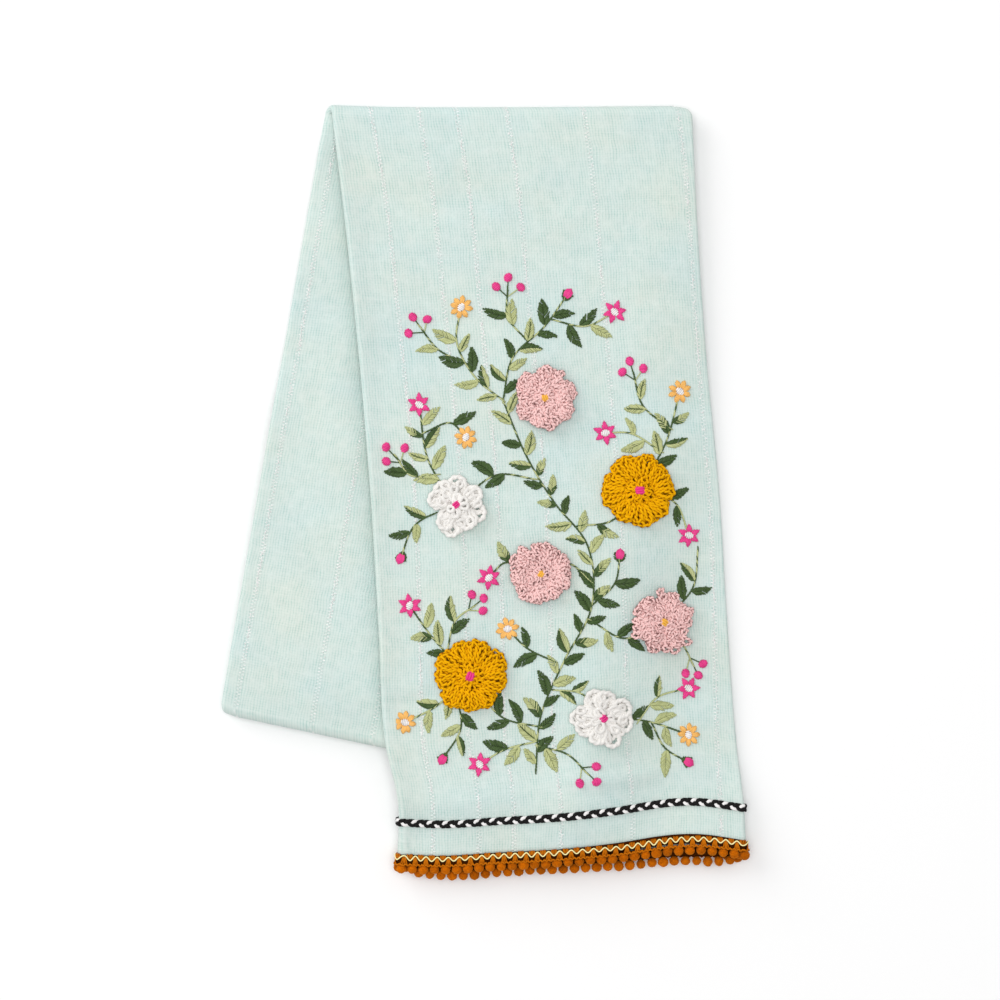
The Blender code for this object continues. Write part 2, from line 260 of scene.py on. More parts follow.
def through(places, values, at):
    """Values on a smooth curve through some places, straight on past its ends."""
    slopes = np.gradient(values, places)
    at = np.asarray(at, float)
    i = np.clip(np.searchsorted(places, at) - 1, 0, len(places) - 2)
    span = places[i + 1] - places[i]
    t = (at - places[i]) / span
    t2, t3 = t * t, t * t * t
    curve = (2 * t3 - 3 * t2 + 1) * values[i] + (t3 - 2 * t2 + t) * span * slopes[i]
    curve += (3 * t2 - 2 * t3) * values[i + 1] + (t3 - t2) * span * slopes[i + 1]
    before = values[0] + slopes[0] * (at - places[0])
    after = values[-1] + slopes[-1] * (at - places[-1])
    return np.where(t < 0, before, np.where(t > 1, after, curve))


def read(rows, key, value, at):
    """A table's value at any place."""
    places = np.array([getattr(row, key) for row in rows], float)
    return through(places, np.array([getattr(row, value) for row in rows], float), at)


def cover(outline, x, y, run_out):
    """1 on an outline, falling softly to 0 at run_out outside it."""
    outside = 0.0
    for start, end in zip(outline, (*outline[1:], outline[0])):
        run = (end[0] - start[0], end[1] - start[1])
        away = ((x - start[0]) * run[1] - (y - start[1]) * run[0]) / math.hypot(*run)
        outside = outside + np.maximum(away, 0) ** 2
    return 1 - ease(np.sqrt(outside) / run_out)


def corner_cut(from_corner):
    """How far a rounded corner falls back, at a distance along the fold from it."""
    return CORNER_DEPTH * np.maximum(0, 1 - from_corner / CORNER) ** 2


def end_y(across):
    """The front's end."""
    return read(FRONT_END, "across", "y", across) * MM


def top_y(across):
    """The top fold, where the front ends and the fold's bulge begins."""
    return read(TOP_FOLD, "across", "y", across) * MM - corner_cut((1 - across) * PANEL)


def front_x(across, y):
    """A lengthwise thread's place in the front, between its two side folds."""
    left = read(FRONT_SIDES, "y", "left", y / MM)
    right = read(FRONT_SIDES, "y", "right", y / MM)
    return mix(left, right, across) * MM


def rear_top(across):
    """Where a lengthwise thread starts down the back, just under the top fold."""
    return mix(REAR_TOP_LEFT, REAR_TOP_RIGHT, across), top_y(across)


def rear_foot(across):
    """Where it reaches the fold that turns the far end under."""
    inset = TURN + LAYER_STEP + SOLID / 2 + corner_cut(across * PANEL)
    return mix(BACK[0][0], BACK[1][0], across), mix(BACK[0][1], BACK[1][1], across) + inset


def flap_end(across):
    """Where the cut length runs out, past the front, the back and the two folds."""
    top, foot = rear_top(across), rear_foot(across)
    front = np.hypot(front_x(across, top[1]) - front_x(across, end_y(across)), top[1] - end_y(across))
    length = CUT_LENGTH - front - np.hypot(top[0] - foot[0], top[1] - foot[1]) - 2 * math.pi * TURN
    return foot[0] + math.sin(FLAP_LEAN) * length, foot[1] + math.cos(FLAP_LEAN) * length


FLAP_OUTLINE = [BACK[0], BACK[1], flap_end(1), flap_end(0)]
FRONT_LENGTH = float(top_y(0.5) - end_y(0.5))


def fade(from_end, reach):
    """1 up to the nearer distance from the end, then falling to 0 at the farther one."""
    return 1 - ease((from_end - reach[0]) / (reach[1] - reach[0]))


def room_over(from_end):
    """Between the middles of the top layer and the inner one."""
    return LAYER_STEP + BALL_ROOM * fade(from_end, BALL_REACH)


def room_under(from_end):
    """Between the middles of the inner layer and the outer one, whose faces hold the trims."""
    trims = TRIM_ROOM * fade(from_end, TRIM_REACH)
    return LAYER_STEP + trims + LOWER_BALL_ROOM * fade(from_end, BALL_REACH)


FLAP_Z = SOLID / 2 + LAYER_STEP  # of the inner layer where the outer one lies on the surface


def rear_z(x, y):
    """How high the inner layer lies in the back, over the turned-under end."""
    return FLAP_Z + 2 * TURN * cover(FLAP_OUTLINE, x, y, BACK_RUN_OUT)


def front_z(x, y, from_end):
    """How high the inner layer lies in the front, over all that is beneath."""
    beneath = cover(BACK, x, y, FRONT_RUN_OUT) + cover(FLAP_OUTLINE, x, y, BACK_RUN_OUT)
    lift = TRIM_LIFT * fade(from_end, TRIM_REACH)
    return SOLID / 2 + lift + room_under(from_end) + 2 * TURN * beneath


def section(stretch, place, from_end):
    """The folded thirds' section: distance from the left fold, and height over the inner layer. The place
    is a distance from the left fold on a layer, or a share of the turn in a fold, which runs on straight
    past both ends."""
    over, under = room_over(from_end), room_under(from_end)
    right, left = over / 2, (over + under) / 2
    angle = math.pi * np.clip(place, 0, 1)
    straight = math.pi * np.maximum(np.maximum(-place, place - 1), 0)
    if stretch == RIGHT_FOLD:
        return PANEL - SOLID / 2 - right + right * (np.sin(angle) - straight), right * (1 - np.cos(angle))
    if stretch == LEFT_FOLD:
        return SOLID / 2 + left - left * (np.sin(angle) - straight), over - left * (1 - np.cos(angle))
    return place, {INNER: 0 * over, MIDDLE: over, OUTER: -under}[stretch]


def half_turn(y, upper, lower, height, part):
    """A crosswise fold's y and z, the fold bulging towards +y."""
    radius = (upper - lower) / 2 + height
    angle = math.pi * part
    return y + radius * np.sin(angle), (upper + lower) / 2 + radius * np.cos(angle)


def rumple(creases, x, y):
    """How far the cloth stands up in its creases."""
    raised = 0.0
    for crease in creases:
        run = (crease.x1 - crease.x0, crease.y1 - crease.y0)
        length = math.hypot(*run)
        dx, dy = x / MM - crease.x0, y / MM - crease.y0
        along = (dx * run[0] + dy * run[1]) / length**2
        aside = (dx * run[1] - dy * run[0]) / length
        off = aside - CREASE_BOW * length * np.sin(math.pi * np.clip(along, 0, 1))
        ends = ease((along + CREASE_PAST) / CREASE_RISE) * ease((1 + CREASE_PAST - along) / CREASE_RISE)
        raised = raised + crease.height * MM * ends * np.exp(-((off / crease.width) ** 2))
    return raised


def slack(x, y):
    """The slow unevenness of washed cotton."""
    waves = np.random.default_rng(3)
    total = 0.0
    for _ in range(SLACK_WAVES):
        angle = waves.uniform(0, math.pi)
        wavelength = waves.uniform(*SLACK_LENGTHS) * MM
        phase = waves.uniform(0, 6.3)
        along = (x * math.cos(angle) + y * math.sin(angle)) / wavelength
        total = total + SLACK_HEIGHT * np.sin(2 * math.pi * along + phase)
    return total


def puff(x, y):
    """The back's strip stands up a little beside the front, whose weight holds it down along its edge."""
    away = np.maximum(front_x(0, np.minimum(y, SIDES_TOP * MM)) - x, 0)
    return PUFF * (1 - np.exp(-away / PUFF_RISE)) * np.exp(-away / PUFF_FALL)


def front_points(stretch, across, height, part, from_end):
    """The front: part is the distance up from its end."""
    y = mix(end_y(across), top_y(across), part / FRONT_LENGTH)
    x = front_x(across, y)
    if stretch in (INNER, OUTER):
        slip = read(LAYER_SKEW, "across", "inner" if stretch == INNER else "outer", across) * MM
        y = y + slip * (1 - ease(from_end / SKEW_REACH))
    level = front_z(x, y, from_end)
    raised = rumple(FRONT_CREASES, x, y) + slack(x, y)
    sunk = ease((level - SOLID / 2 - room_under(from_end)) / SINK_ROOM)
    raised = raised + sunk * EDGE_STANDS * np.exp(-(((x - front_x(0, y)) / EDGE_REACH) ** 2))
    share = 1 - CREASE_FADE * (room_over(from_end) - height) / (2 * LAYER_STEP)
    top = ease((FRONT_LENGTH - part) / TOP_FADE)
    return x, y, level + height + np.where(raised < 0, raised * sunk, raised) * share * top


def rear_points(top, foot, height, part, from_end):
    """The back: part is the share of the way down from the top fold, where the cloth lies face down."""
    x, y = mix(top[0], foot[0], part), mix(top[1], foot[1], part)
    ends = ease(part / BACK_FADE) * ease((1 - part) / BACK_FADE)
    lift = np.maximum(rumple(REAR_CREASES, x, y) + slack(x, y) + BACK_LOOSE, 0) + puff(x, y)
    share = 0.7 + 0.1 * (room_over(from_end) - height) / LAYER_STEP  # more in the layers on top
    return x, y, rear_z(x, y) - height + lift * ends * share


def cloth_points(stretch, place, stage, part):
    """Points in the middle of the cloth's thickness, for one stretch across and one along."""
    from_end = part if stage == FRONT else np.full_like(part, CUT_LENGTH)
    distance, height = section(stretch, place, from_end)
    across = distance / PANEL
    if stage == FRONT:
        return front_points(stretch, across, height, part, from_end)
    top, foot, end = rear_top(across), rear_foot(across), flap_end(across)
    if stage == OVER_FOLD:
        front = front_x(across, top[1])
        y, z = half_turn(top[1], front_z(front, top[1], from_end), rear_z(*top), height, part)
        return mix(front, top[0], ease(part)), y, z
    if stage == REAR:
        return rear_points(top, foot, height, part, from_end)
    if stage == UNDER_FOLD:
        y, z = half_turn(-foot[1], rear_z(*foot), FLAP_Z + 0 * height, -height, part)
        return foot[0], -y, z
    return mix(foot[0], end[0], part), mix(foot[1], end[1], part), FLAP_Z + height


def steps(first, last, step):
    """Even places from first to last, about a step apart."""
    return np.linspace(first, last, max(2, round(abs(last - first) / step) + 1))


UNDER_TRIM = 2.6 * MM  # the cloth stops this far short of its solid, under the trim's heading
INNER_TUCK = 0.4 * MM  # and its inner long edge lies this far inside its solid's
FOLD_SHOULDER = 6 * MM  # from a side fold to the first column on the flat
TOP_SHOULDER = 0.6 * MM  # from the front's last row to the top fold
FRONT_ROWS = 2.4 * MM  # between rows, and the same between columns below
FINE_COLUMNS = 2.5 * MM
STRIP_COLUMNS = 2.6 * MM  # on the half of the outer third that shows as the back's strip
HIDDEN_COLUMNS = 5.2 * MM
TOP_COLUMNS = steps(FOLD_SHOULDER, PANEL - FOLD_SHOULDER, FINE_COLUMNS)
INNER_COLUMNS = steps(FOLD_SHOULDER, PANEL - FOLD_SHOULDER, HIDDEN_COLUMNS)
OUTER_COLUMNS = np.array([
    *steps(FOLD_SHOULDER, PANEL / 2, STRIP_COLUMNS),
    *steps(PANEL / 2, PANEL - FOLD_SHOULDER, HIDDEN_COLUMNS)[1:],
    PANEL - OUTER_EDGE,
])
# Columns are distances from the left fold. In a side fold they are shares of its turn, with one before it
# and one after it on the flat. The front's rows are distances from its end, and the others shares of their
# stretch.
COLUMN_RUNS = [
    (INNER, np.array([INNER_EDGE + INNER_TUCK, *INNER_COLUMNS[1:]])),
    (RIGHT_FOLD, np.array([-0.2, *np.linspace(0, 1, 9), 1.2])),
    (MIDDLE, TOP_COLUMNS[::-1]),
    (LEFT_FOLD, np.array([-0.12, *np.linspace(0, 1, 13), 1.12])),
    (OUTER, OUTER_COLUMNS),
]
ROW_RUNS = [
    (FRONT, np.array([*steps(UNDER_TRIM, FRONT_LENGTH - TOP_SHOULDER, FRONT_ROWS), FRONT_LENGTH])),
    (OVER_FOLD, np.linspace(0, 1, 18)[1:]),
    (REAR, np.array([*np.linspace(0, 0.997, 88)[1:], 1])),
    (UNDER_FOLD, np.linspace(0, 1, 14)[1:]),
    (FLAP, np.linspace(0, 1, 30)[1:]),
]


def cloth_grid(column_runs, row_runs):
    """The middle surface as a grid of points, columns first."""
    blocks = []
    for stretch, places in column_runs:
        runs = []
        for stage, parts in row_runs:
            point = cloth_points(stretch, places[:, None], stage, parts[None, :])
            runs.append(np.stack(np.broadcast_arrays(*point), axis=-1))
        blocks.append(np.concatenate(runs, axis=1))
    return np.concatenate(blocks)


def unit(vectors):
    return vectors / np.maximum(np.linalg.norm(vectors, axis=-1, keepdims=True), 1e-12)


def facing(points):
    """The directions in which the face of the cloth looks."""
    return unit(np.cross(np.gradient(points, axis=1), np.gradient(points, axis=0)))


def lengths(points):
    """Distances along a line of points, from its first."""
    return np.concatenate([[0], np.cumsum(np.linalg.norm(np.diff(points, axis=0), axis=-1))])


POINTS = cloth_grid(COLUMN_RUNS, ROW_RUNS)
NORMALS = facing(POINTS)
COLUMN_KEYS = [(stretch, float(place)) for stretch, places in COLUMN_RUNS for place in places]
MIDDLE_COLUMN = next(i for i, key in enumerate(COLUMN_KEYS) if key[0] == MIDDLE) + len(TOP_COLUMNS) // 2
LEVEL_ROW = 60  # of the grid, about half way up the front, along which its columns' places are measured
ALONG = lengths(POINTS[MIDDLE_COLUMN])
ACROSS = lengths(POINTS[:, LEVEL_ROW])
SLIDES_TOP = SIDES_TOP - 0.1  # millimetres, above which no thread has slid


def warp_slides():
    """How far the warp has slid at each point of the grid."""
    front = end_y(0.5) + ROW_RUNS[0][1]
    y = np.concatenate([front, np.full(POINTS.shape[1] - len(front), SIDES_TOP * MM)]) / MM
    left, right = read(WARP_SLIDES, "y", "left", y), read(WARP_SLIDES, "y", "right", y)
    runs = {INNER: 1.0, RIGHT_FOLD: 1.0, LEFT_FOLD: 0.0, OUTER: 0.0}
    share = np.array([runs.get(stretch, place / PANEL) for stretch, place in COLUMN_KEYS])
    return mix(left, right, ease(share)[:, None]) * MM * (y < SLIDES_TOP)


SLIDES = warp_slides()


def column_at(third, place):
    """The grid's column number at a distance from the left fold."""
    keys = [(key[1], i) for i, key in enumerate(COLUMN_KEYS) if key[0] == third]
    places, numbers = zip(*sorted(keys))
    return np.interp(place, places, numbers)


def stripe_middle(stripe):
    """How far across the cloth a pair of slub yarns lies."""
    return np.interp(column_at(stripe.third, stripe.place * MM), range(len(ACROSS)), ACROSS)


def new_object(name, data):
    """An object in the scene."""
    made = bpy.data.objects.new(name, data)
    bpy.context.scene.collection.objects.link(made)
    return made


def new_piece(name, verts, faces, places, material, shade=None):
    """A mesh that rides on the towel. faces are arrays of polygons with the same number of corners, and
    places are where their corners lie on the cloth or along the yarn, in millimetres."""
    corners = np.concatenate([group.ravel() for group in faces]).astype(np.int32)
    sizes = np.concatenate([np.full(len(group), group.shape[1]) for group in faces])
    starts = np.concatenate([[0], np.cumsum(sizes)[:-1]]).astype(np.int32)
    mesh = bpy.data.meshes.new(name)
    mesh.vertices.add(len(verts))
    mesh.vertices.foreach_set("co", np.asarray(verts, np.float32).ravel())
    mesh.loops.add(len(corners))
    mesh.loops.foreach_set("vertex_index", corners)
    mesh.polygons.add(len(sizes))
    mesh.polygons.foreach_set("loop_start", starts)
    mesh.update(calc_edges=True)
    if places is not None:
        flat = np.concatenate([group.reshape(-1, 2) for group in places]).astype(np.float32)
        mesh.uv_layers.new(name="thread").uv.foreach_set("vector", flat.ravel())
    if shade is not None:
        tones = mesh.attributes.new("shade", "FLOAT", "POINT")
        tones.data.foreach_set("value", np.asarray(shade, np.float32))
    mesh.polygons.foreach_set("use_smooth", np.ones(len(sizes), bool))
    mesh.materials.append(material)
    piece = new_object(name, mesh)
    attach(piece, "root")
    return piece


class Amount:
    """A number that may differ from place to place in a material, to reckon with like any other."""

    def __init__(self, socket):
        self.socket = socket

    def maths(self, operation, *others):
        """The result of a Math node on this amount and others."""
        inputs = dict(enumerate((self, *others)))
        return Amount(add(self.socket.id_data, "Math", {"operation": operation}, inputs).outputs[0])

    def __add__(self, other):
        return self.maths("ADD", other)

    def __sub__(self, other):
        return self.maths("SUBTRACT", other)

    def __rsub__(self, other):
        return -1.0 * self + other

    def __mul__(self, other):
        return self.maths("MULTIPLY", other)

    def __truediv__(self, other):
        return self.maths("DIVIDE", other)

    def __pow__(self, other):
        return self.maths("POWER", other)

    def __abs__(self):
        return self.maths("ABSOLUTE")

    __radd__ = __add__
    __rmul__ = __mul__

    def sine(self):
        return self.maths("SINE")

    def at_least(self, other):
        return self.maths("MAXIMUM", other)

    def at_most(self, other):
        return self.maths("MINIMUM", other)


def feed(socket, value):
    """Sets an input to a value, or links it from an amount or another socket."""
    value = value.socket if isinstance(value, Amount) else value
    if isinstance(value, bpy.types.NodeSocket):
        socket.id_data.links.new(value, socket)
    else:
        socket.default_value = value


def add(tree, kind, settings=None, inputs=None):
    """A shader node with its settings and its inputs."""
    made = tree.nodes.new("ShaderNode" + kind)
    for name, value in (settings or {}).items():
        setattr(made, name, value)
    for name, value in (inputs or {}).items():
        feed(made.inputs[name], value)
    return made


def apart(tree, place):
    """The amounts across, along and out."""
    return [Amount(socket) for socket in add(tree, "SeparateXYZ", {}, {0: place}).outputs]


def blend_colours(tree, factor, first, second, how="MIX"):
    """The colour of a Mix node."""
    settings = {"data_type": "RGBA", "blend_type": how}
    return add(tree, "Mix", settings, {0: factor, 6: first, 7: second}).outputs[2]


def noise(tree, place, stretch, detail=2.0, rough=0.5):
    """A Noise texture of about 0 to 1, over a place stretched along its axes."""
    scaled = add(tree, "VectorMath", {"operation": "MULTIPLY"}, {0: place, 1: stretch}).outputs[0]
    inputs = {"Vector": scaled, "Scale": 1.0, "Detail": detail, "Roughness": rough}
    return Amount(add(tree, "TexNoise", {}, inputs).outputs[0])


def new_group(name, inputs, outputs):
    """An empty shader node group, with its input and output sockets."""
    group = bpy.data.node_groups.new(name, "ShaderNodeTree")
    kinds = {"v": "NodeSocketVector", "c": "NodeSocketColor", "f": "NodeSocketFloat"}
    for socket, kind in inputs.items():
        group.interface.new_socket(socket, in_out="INPUT", socket_type=kinds[kind])
    for socket, kind in outputs.items():
        group.interface.new_socket(socket, in_out="OUTPUT", socket_type=kinds[kind])
    return group, group.nodes.new("NodeGroupInput").outputs, group.nodes.new("NodeGroupOutput").inputs


def plain_weave_group():
    """Warp and weft threads that pass over each other, with thick places in some of them, and a mask of the
    gaps between the threads where painted shade goes.
    """
    inputs = {"Place": "v", "Warp pitch": "f", "Weft pitch": "f", "Slubs": "f"}
    group, given, result = new_group("plain weave", inputs, {"Height": "f", "Painted gap shade": "f", "Slub": "f"})
    place = given["Place"]
    wander = 1.8 * (noise(group, place, (0.13, 0.11, 0)) - 0.5)
    across, along, _ = apart(group, place)
    warp = (math.pi * ((across + wander) / given["Warp pitch"])).sine()
    weft = (math.pi * ((along + wander) / given["Weft pitch"])).sine()
    threads = 0.72 * abs(warp) ** 0.6 + 0.28 * abs(weft) ** 0.6
    open_here = 4.6 * (noise(group, place, (0.24, 0.18, 0), 3.0, 0.65) - 0.28)
    thick_warp = 2.5 * (noise(group, place, (1.0, 0.05, 0), 3.0, 0.6) - 0.54).at_least(0.0)
    thick_weft = 2.5 * (noise(group, place, (0.04, 1.0, 0), 3.0, 0.6) - 0.54).at_least(0.0)
    slub = (thick_warp + thick_weft) * given["Slubs"]
    feed(result["Height"], 0.6 * threads + 0.4 * (0.5 * (1.0 + warp * weft)) + slub)
    # The gaps between the threads, where the cloth is painted in shade
    feed(result["Painted gap shade"], (1.0 - threads) * open_here.at_least(0.0))
    feed(result["Slub"], slub)
    return group


def uneven_dye_group():
    """A colour that comes out a little darker here and lighter there, and warmer or cooler."""
    inputs = {"Place": "v", "Colour": "c", "Spread": "f"}
    group, given, result = new_group("uneven dye", inputs, {"Colour": "c"})
    place = given["Place"]
    clouds = noise(group, place, (0.03, 0.03, 0), 4.0, 0.6) - 0.5
    warp = noise(group, place, (0.55, 0.10, 0), 4.0, 0.6) - 0.5
    weft = noise(group, place, (0.10, 0.45, 0), 4.0, 0.6) - 0.5
    mottle = noise(group, place, (0.9, 0.8, 0), 4.0, 0.6) - 0.5
    level = 1.0 + (clouds + 0.8 * warp + 0.7 * weft + 0.7 * mottle) * given["Spread"]
    grey = add(group, "CombineColor", {}, {0: level, 1: level, 2: level}).outputs[0]
    toned = blend_colours(group, 1.0, given["Colour"], grey, "MULTIPLY")
    cool = 2.5 * (noise(group, place, (0.026, 0.03, 0), 3.0) - 0.3)
    cast = blend_colours(group, cool, (1.03, 1.0, 0.965, 1), (0.965, 1.0, 1.02, 1))
    feed(result["Colour"], blend_colours(group, 1.0, toned, cast, "MULTIPLY"))
    return group


def use_group(tree, group, inputs):
    return add(tree, "Group", {"node_tree": group}, inputs).outputs


def new_material(name, roughness, sheen=0.0, specular=0.3):
    """A Principled material. Returns it, its tree and its shader."""
    material = bpy.data.materials.new(name)
    material.use_nodes = True
    tree = material.node_tree
    shader = tree.nodes["Principled BSDF"]
    feed(shader.inputs["Roughness"], roughness)
    feed(shader.inputs["Sheen Weight"], sheen)
    feed(shader.inputs["Sheen Roughness"], 0.4)
    feed(shader.inputs["Specular IOR Level"], specular)
    return material, tree, shader


def thread_place(tree):
    """The place on the cloth or along the yarn, in millimetres."""
    return add(tree, "UVMap", {"uv_map": "thread"}).outputs[0]


def bump(tree, shader, height, strength, depth):
    """Height of 1 stands depth proud."""
    inputs = {"Strength": strength, "Distance": depth, "Height": height}
    feed(shader.inputs["Normal"], add(tree, "Bump", {}, inputs).outputs[0])


PLAIN_WEAVE = plain_weave_group()
UNEVEN_DYE = uneven_dye_group()
AQUA = (0.640, 0.728, 0.694, 1)
AQUA_PAINTED_SHADE = (0.400, 0.580, 0.540, 1)
AQUA_SLUB = (0.72, 0.79, 0.76, 1)
SLUB_WHITE = (0.90, 0.89, 0.88, 1)
WARP_PITCH = 1.22  # millimetres, between threads
WEFT_PITCH = 1.10
WEAVE_DEPTH = 0.16 * MM
STRIPE_HALF = 1.1  # millimetres, of the room that a pair of slub yarns takes
FLOAT_PITCH = 1.5 * MM  # between floats on one side of a pair
FLOATS_APART = 0.9 * MM  # from one side to the other


def slub_stripes(tree, place):
    """Where the slub yarns come up (1), and where the ground between their floats shows (-1), which the
    cloth paints in shade.
    """
    across, along, _ = apart(tree, place)
    lean = 0.0
    for stripe in STRIPES:
        away = across - float(stripe_middle(stripe)) / MM
        lean = lean + abs(away).maths("LESS_THAN", STRIPE_HALF) * away.maths("SIGN")
    return (2 * math.pi * MM / FLOAT_PITCH * along).sine() * lean


def cloth_material():
    material, tree, shader = new_material("aqua slub cotton", 0.88, sheen=0.2)
    place = thread_place(tree)
    pitches = {"Warp pitch": WARP_PITCH, "Weft pitch": WEFT_PITCH}
    weave = use_group(tree, PLAIN_WEAVE, {"Place": place, "Slubs": 0.6, **pitches})
    # Painted shade in the gaps between the threads
    colour = blend_colours(tree, 0.8 * Amount(weave["Painted gap shade"]), AQUA, AQUA_PAINTED_SHADE)
    colour = blend_colours(tree, Amount(weave["Slub"]).at_most(0.6), colour, AQUA_SLUB)
    floats = slub_stripes(tree, place)
    broken = (noise(tree, place, (0.6, 0.5, 0), 3.0) - 0.36).at_least(0.0)
    # Painted shade on the ground between the slub yarns' floats
    colour = blend_colours(tree, (-1.0 * floats).at_least(0.0) * broken, colour, AQUA_PAINTED_SHADE)
    colour = blend_colours(tree, floats.at_least(0.0) * (3.0 * broken), colour, SLUB_WHITE)
    dyed = use_group(tree, UNEVEN_DYE, {"Place": place, "Colour": colour, "Spread": 0.12})
    feed(shader.inputs["Base Color"], dyed["Colour"])
    bump(tree, shader, floats + weave["Height"], 0.6, WEAVE_DEPTH)
    return material


def make_towel_cloth():
    columns, rows = POINTS.shape[:2]
    number = np.arange(columns * rows).reshape(columns, rows)
    corners = [number[:-1, :-1], number[:-1, 1:], number[1:, 1:], number[1:, :-1]]
    faces = np.stack(corners, axis=-1).reshape(-1, 4)
    across, along = np.broadcast_arrays(ACROSS[:, None] + SLIDES, ALONG)
    place = np.stack([across, along], axis=-1).reshape(-1, 2) / MM
    towel = new_piece("towel", POINTS.reshape(-1, 3), [faces], [place[faces]], cloth_material())
    thickness = towel.modifiers.new("thickness", "SOLIDIFY")
    thickness.thickness = CLOTH
    thickness.offset = 0
    thickness.use_even_offset = True
    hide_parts("towel_cloth")
    return towel


towel = make_towel_cloth()


# --------------------------------------------------------------------------------------------------
# Slub yarns. Thick soft white yarns, woven in pairs with the warp, that come up in short floats on one side
# and then the other, more in some places than in others. These are the floats on the front and on the back's
# strip.
# --------------------------------------------------------------------------------------------------

FLOAT_LENGTH = 1.15 * MM
FLOAT_HALF = 0.26 * MM  # half its thickness
FLOAT_STRAY = 0.2 * MM
SWELL_PARTS = (1, 1.9, 4.1, 9.7)  # the longest wave's length over each wave's own
TUBE_OFFSET = 7.3  # millimetres along the fibres' pattern, from one tube to the next
PAINTED_SIDES_SHADE = 0.6  # how much of a tube's painted edge shade darkens its sides; the rest is painted light on its top
FOLD_CLEAR = 2  # rows on both sides of the back's first one that have no floats
STRIP_ROWS = 80  # of the back, whose strip shows beside the front


def sample(grid, column, row):
    """Values between a grid's points."""
    column = np.clip(column, 0, grid.shape[0] - 1.001)
    row = np.clip(row, 0, grid.shape[1] - 1.001)
    i, j = np.floor(column).astype(int), np.floor(row).astype(int)
    s, t = (column - i)[..., None], (row - j)[..., None]
    return mix(mix(grid[i, j], grid[i + 1, j], s), mix(grid[i, j + 1], grid[i + 1, j + 1], s), t)


class Yarns:
    """Tubes of thread or yarn, gathered up to become one mesh."""

    def __init__(self):
        self.verts, self.faces, self.places, self.shades = [], [], [], []
        self.size = 0

    def lay(
        self,
        paths,
        up,
        radius,
        sides,
        shade=0.5,
        flat=1.0,
        plies=0,
        twist=3 * MM,
        bulge=0.2,
        edge=0.0,
        painted_groove_shade=0.5,
    ):
        """paths holds tubes × points × 3, and up is the way out of the cloth. radius and shade may differ
        from tube to tube and point to point, and flat is a tube's height over its width. The plies go round
        each other once in every twist. edge is how much painted shade darkens the tubes down their sides,
        with painted light on their tops, and the last argument is the share of it painted into the grooves
        between the plies."""
        paths = np.asarray(paths, float)
        count, points = paths.shape[:2]
        along = unit(np.gradient(paths, axis=1))
        side = unit(np.cross(along, np.broadcast_to(up, paths.shape)))
        rise = np.cross(side, along)
        gone = np.stack([lengths(path) for path in paths])
        angle = np.arange(sides) / sides * 2 * math.pi
        radius = np.broadcast_to(radius, (count, points))[..., None]
        reach = radius * np.ones(sides)
        # Painted light on the tubes' tops, and painted shade down their sides and in the grooves between the
        # plies
        light = np.sin(angle) - PAINTED_SIDES_SHADE
        if plies:
            wave = np.cos(plies * (angle - 2 * math.pi * gone[..., None] / twist))
            reach = reach * (1 + bulge * wave)
            light = light + painted_groove_shade * wave
        ring = side[:, :, None] * np.cos(angle)[:, None] + flat * rise[:, :, None] * np.sin(angle)[:, None]
        self.verts.append((paths[:, :, None] + reach[..., None] * ring).reshape(-1, 3))
        number = self.size + np.arange(count * points * sides).reshape(count, points, sides)
        around = np.roll(number, -1, axis=2)
        walls = np.stack([number[:, :-1], number[:, 1:], around[:, 1:], around[:, :-1]], axis=-1)
        self.faces.append(walls.reshape(-1, 4))
        start = (gone / MM + np.arange(count)[:, None] * TUBE_OFFSET)[..., None]
        near, far = start[:, :-1], start[:, 1:]
        girth = np.broadcast_to(2 * math.pi * radius / MM, (count, points, 1))[:, :-1]
        low, high = girth * np.arange(sides) / sides, girth * (np.arange(sides) + 1) / sides
        near, far = np.broadcast_to(near, low.shape), np.broadcast_to(far, low.shape)
        corners = [np.stack(pair, axis=-1) for pair in ((near, low), (far, low), (far, high), (near, high))]
        self.places.append(np.stack(corners, axis=-2).reshape(-1, 4, 2))
        for cap, at in ((number[:, 0], start[:, 0]), (number[:, -1, ::-1], start[:, -1])):
            self.faces.append(cap)
            self.places.append(np.stack([np.broadcast_to(at, cap.shape), cap * 0.0], axis=-1))
        # The points' shade: their tone, with the painted light and shade added
        tone = np.broadcast_to(shade, (count, points))[..., None]
        self.shades.append((tone + edge * np.broadcast_to(light, reach.shape)).ravel())
        self.size += count * points * sides

    def finish(self, name, material):
        verts, shades = np.concatenate(self.verts), np.concatenate(self.shades)
        return new_piece(name, verts, self.faces, self.places, material, shades)


def spun_fibre_group():
    """The fine fibres that run slantwise round a thread, and its tone, which holds painted light and shade
    from the points' shade as well as tone that differs at random.
    """
    inputs = {"Place": "v", "Colour": "c", "Deep and painted shade": "c", "Shade": "f", "Slant": "f", "Contrast": "f"}
    group, given, result = new_group("spun fibre", inputs, {"Colour": "c", "Height": "f"})
    along, around, _ = apart(group, given["Place"])
    wound = add(group, "CombineXYZ", {}, {0: 0.5 * along, 1: around + along * given["Slant"]}).outputs[0]
    fibre = noise(group, wound, (1.0, 6.0, 0), 2.0, 0.6)
    # The points' shade brings in painted light and shade, mixed towards the deep colour
    tone = (fibre - 0.5) * given["Contrast"] + 0.6 * (Amount(given["Shade"]) - 0.5)
    feed(result["Colour"], blend_colours(group, 0.82 + tone, given["Deep and painted shade"], given["Colour"]))
    feed(result["Height"], fibre)
    return group


SPUN_FIBRE = spun_fibre_group()
DEEP_AND_SHADE_SHARE = 0.38  # of a yarn's colour that is left between its fibres, and in the painted shade down its sides and under other yarns
DEEP_POWER = 1.8  # which also makes it fuller there


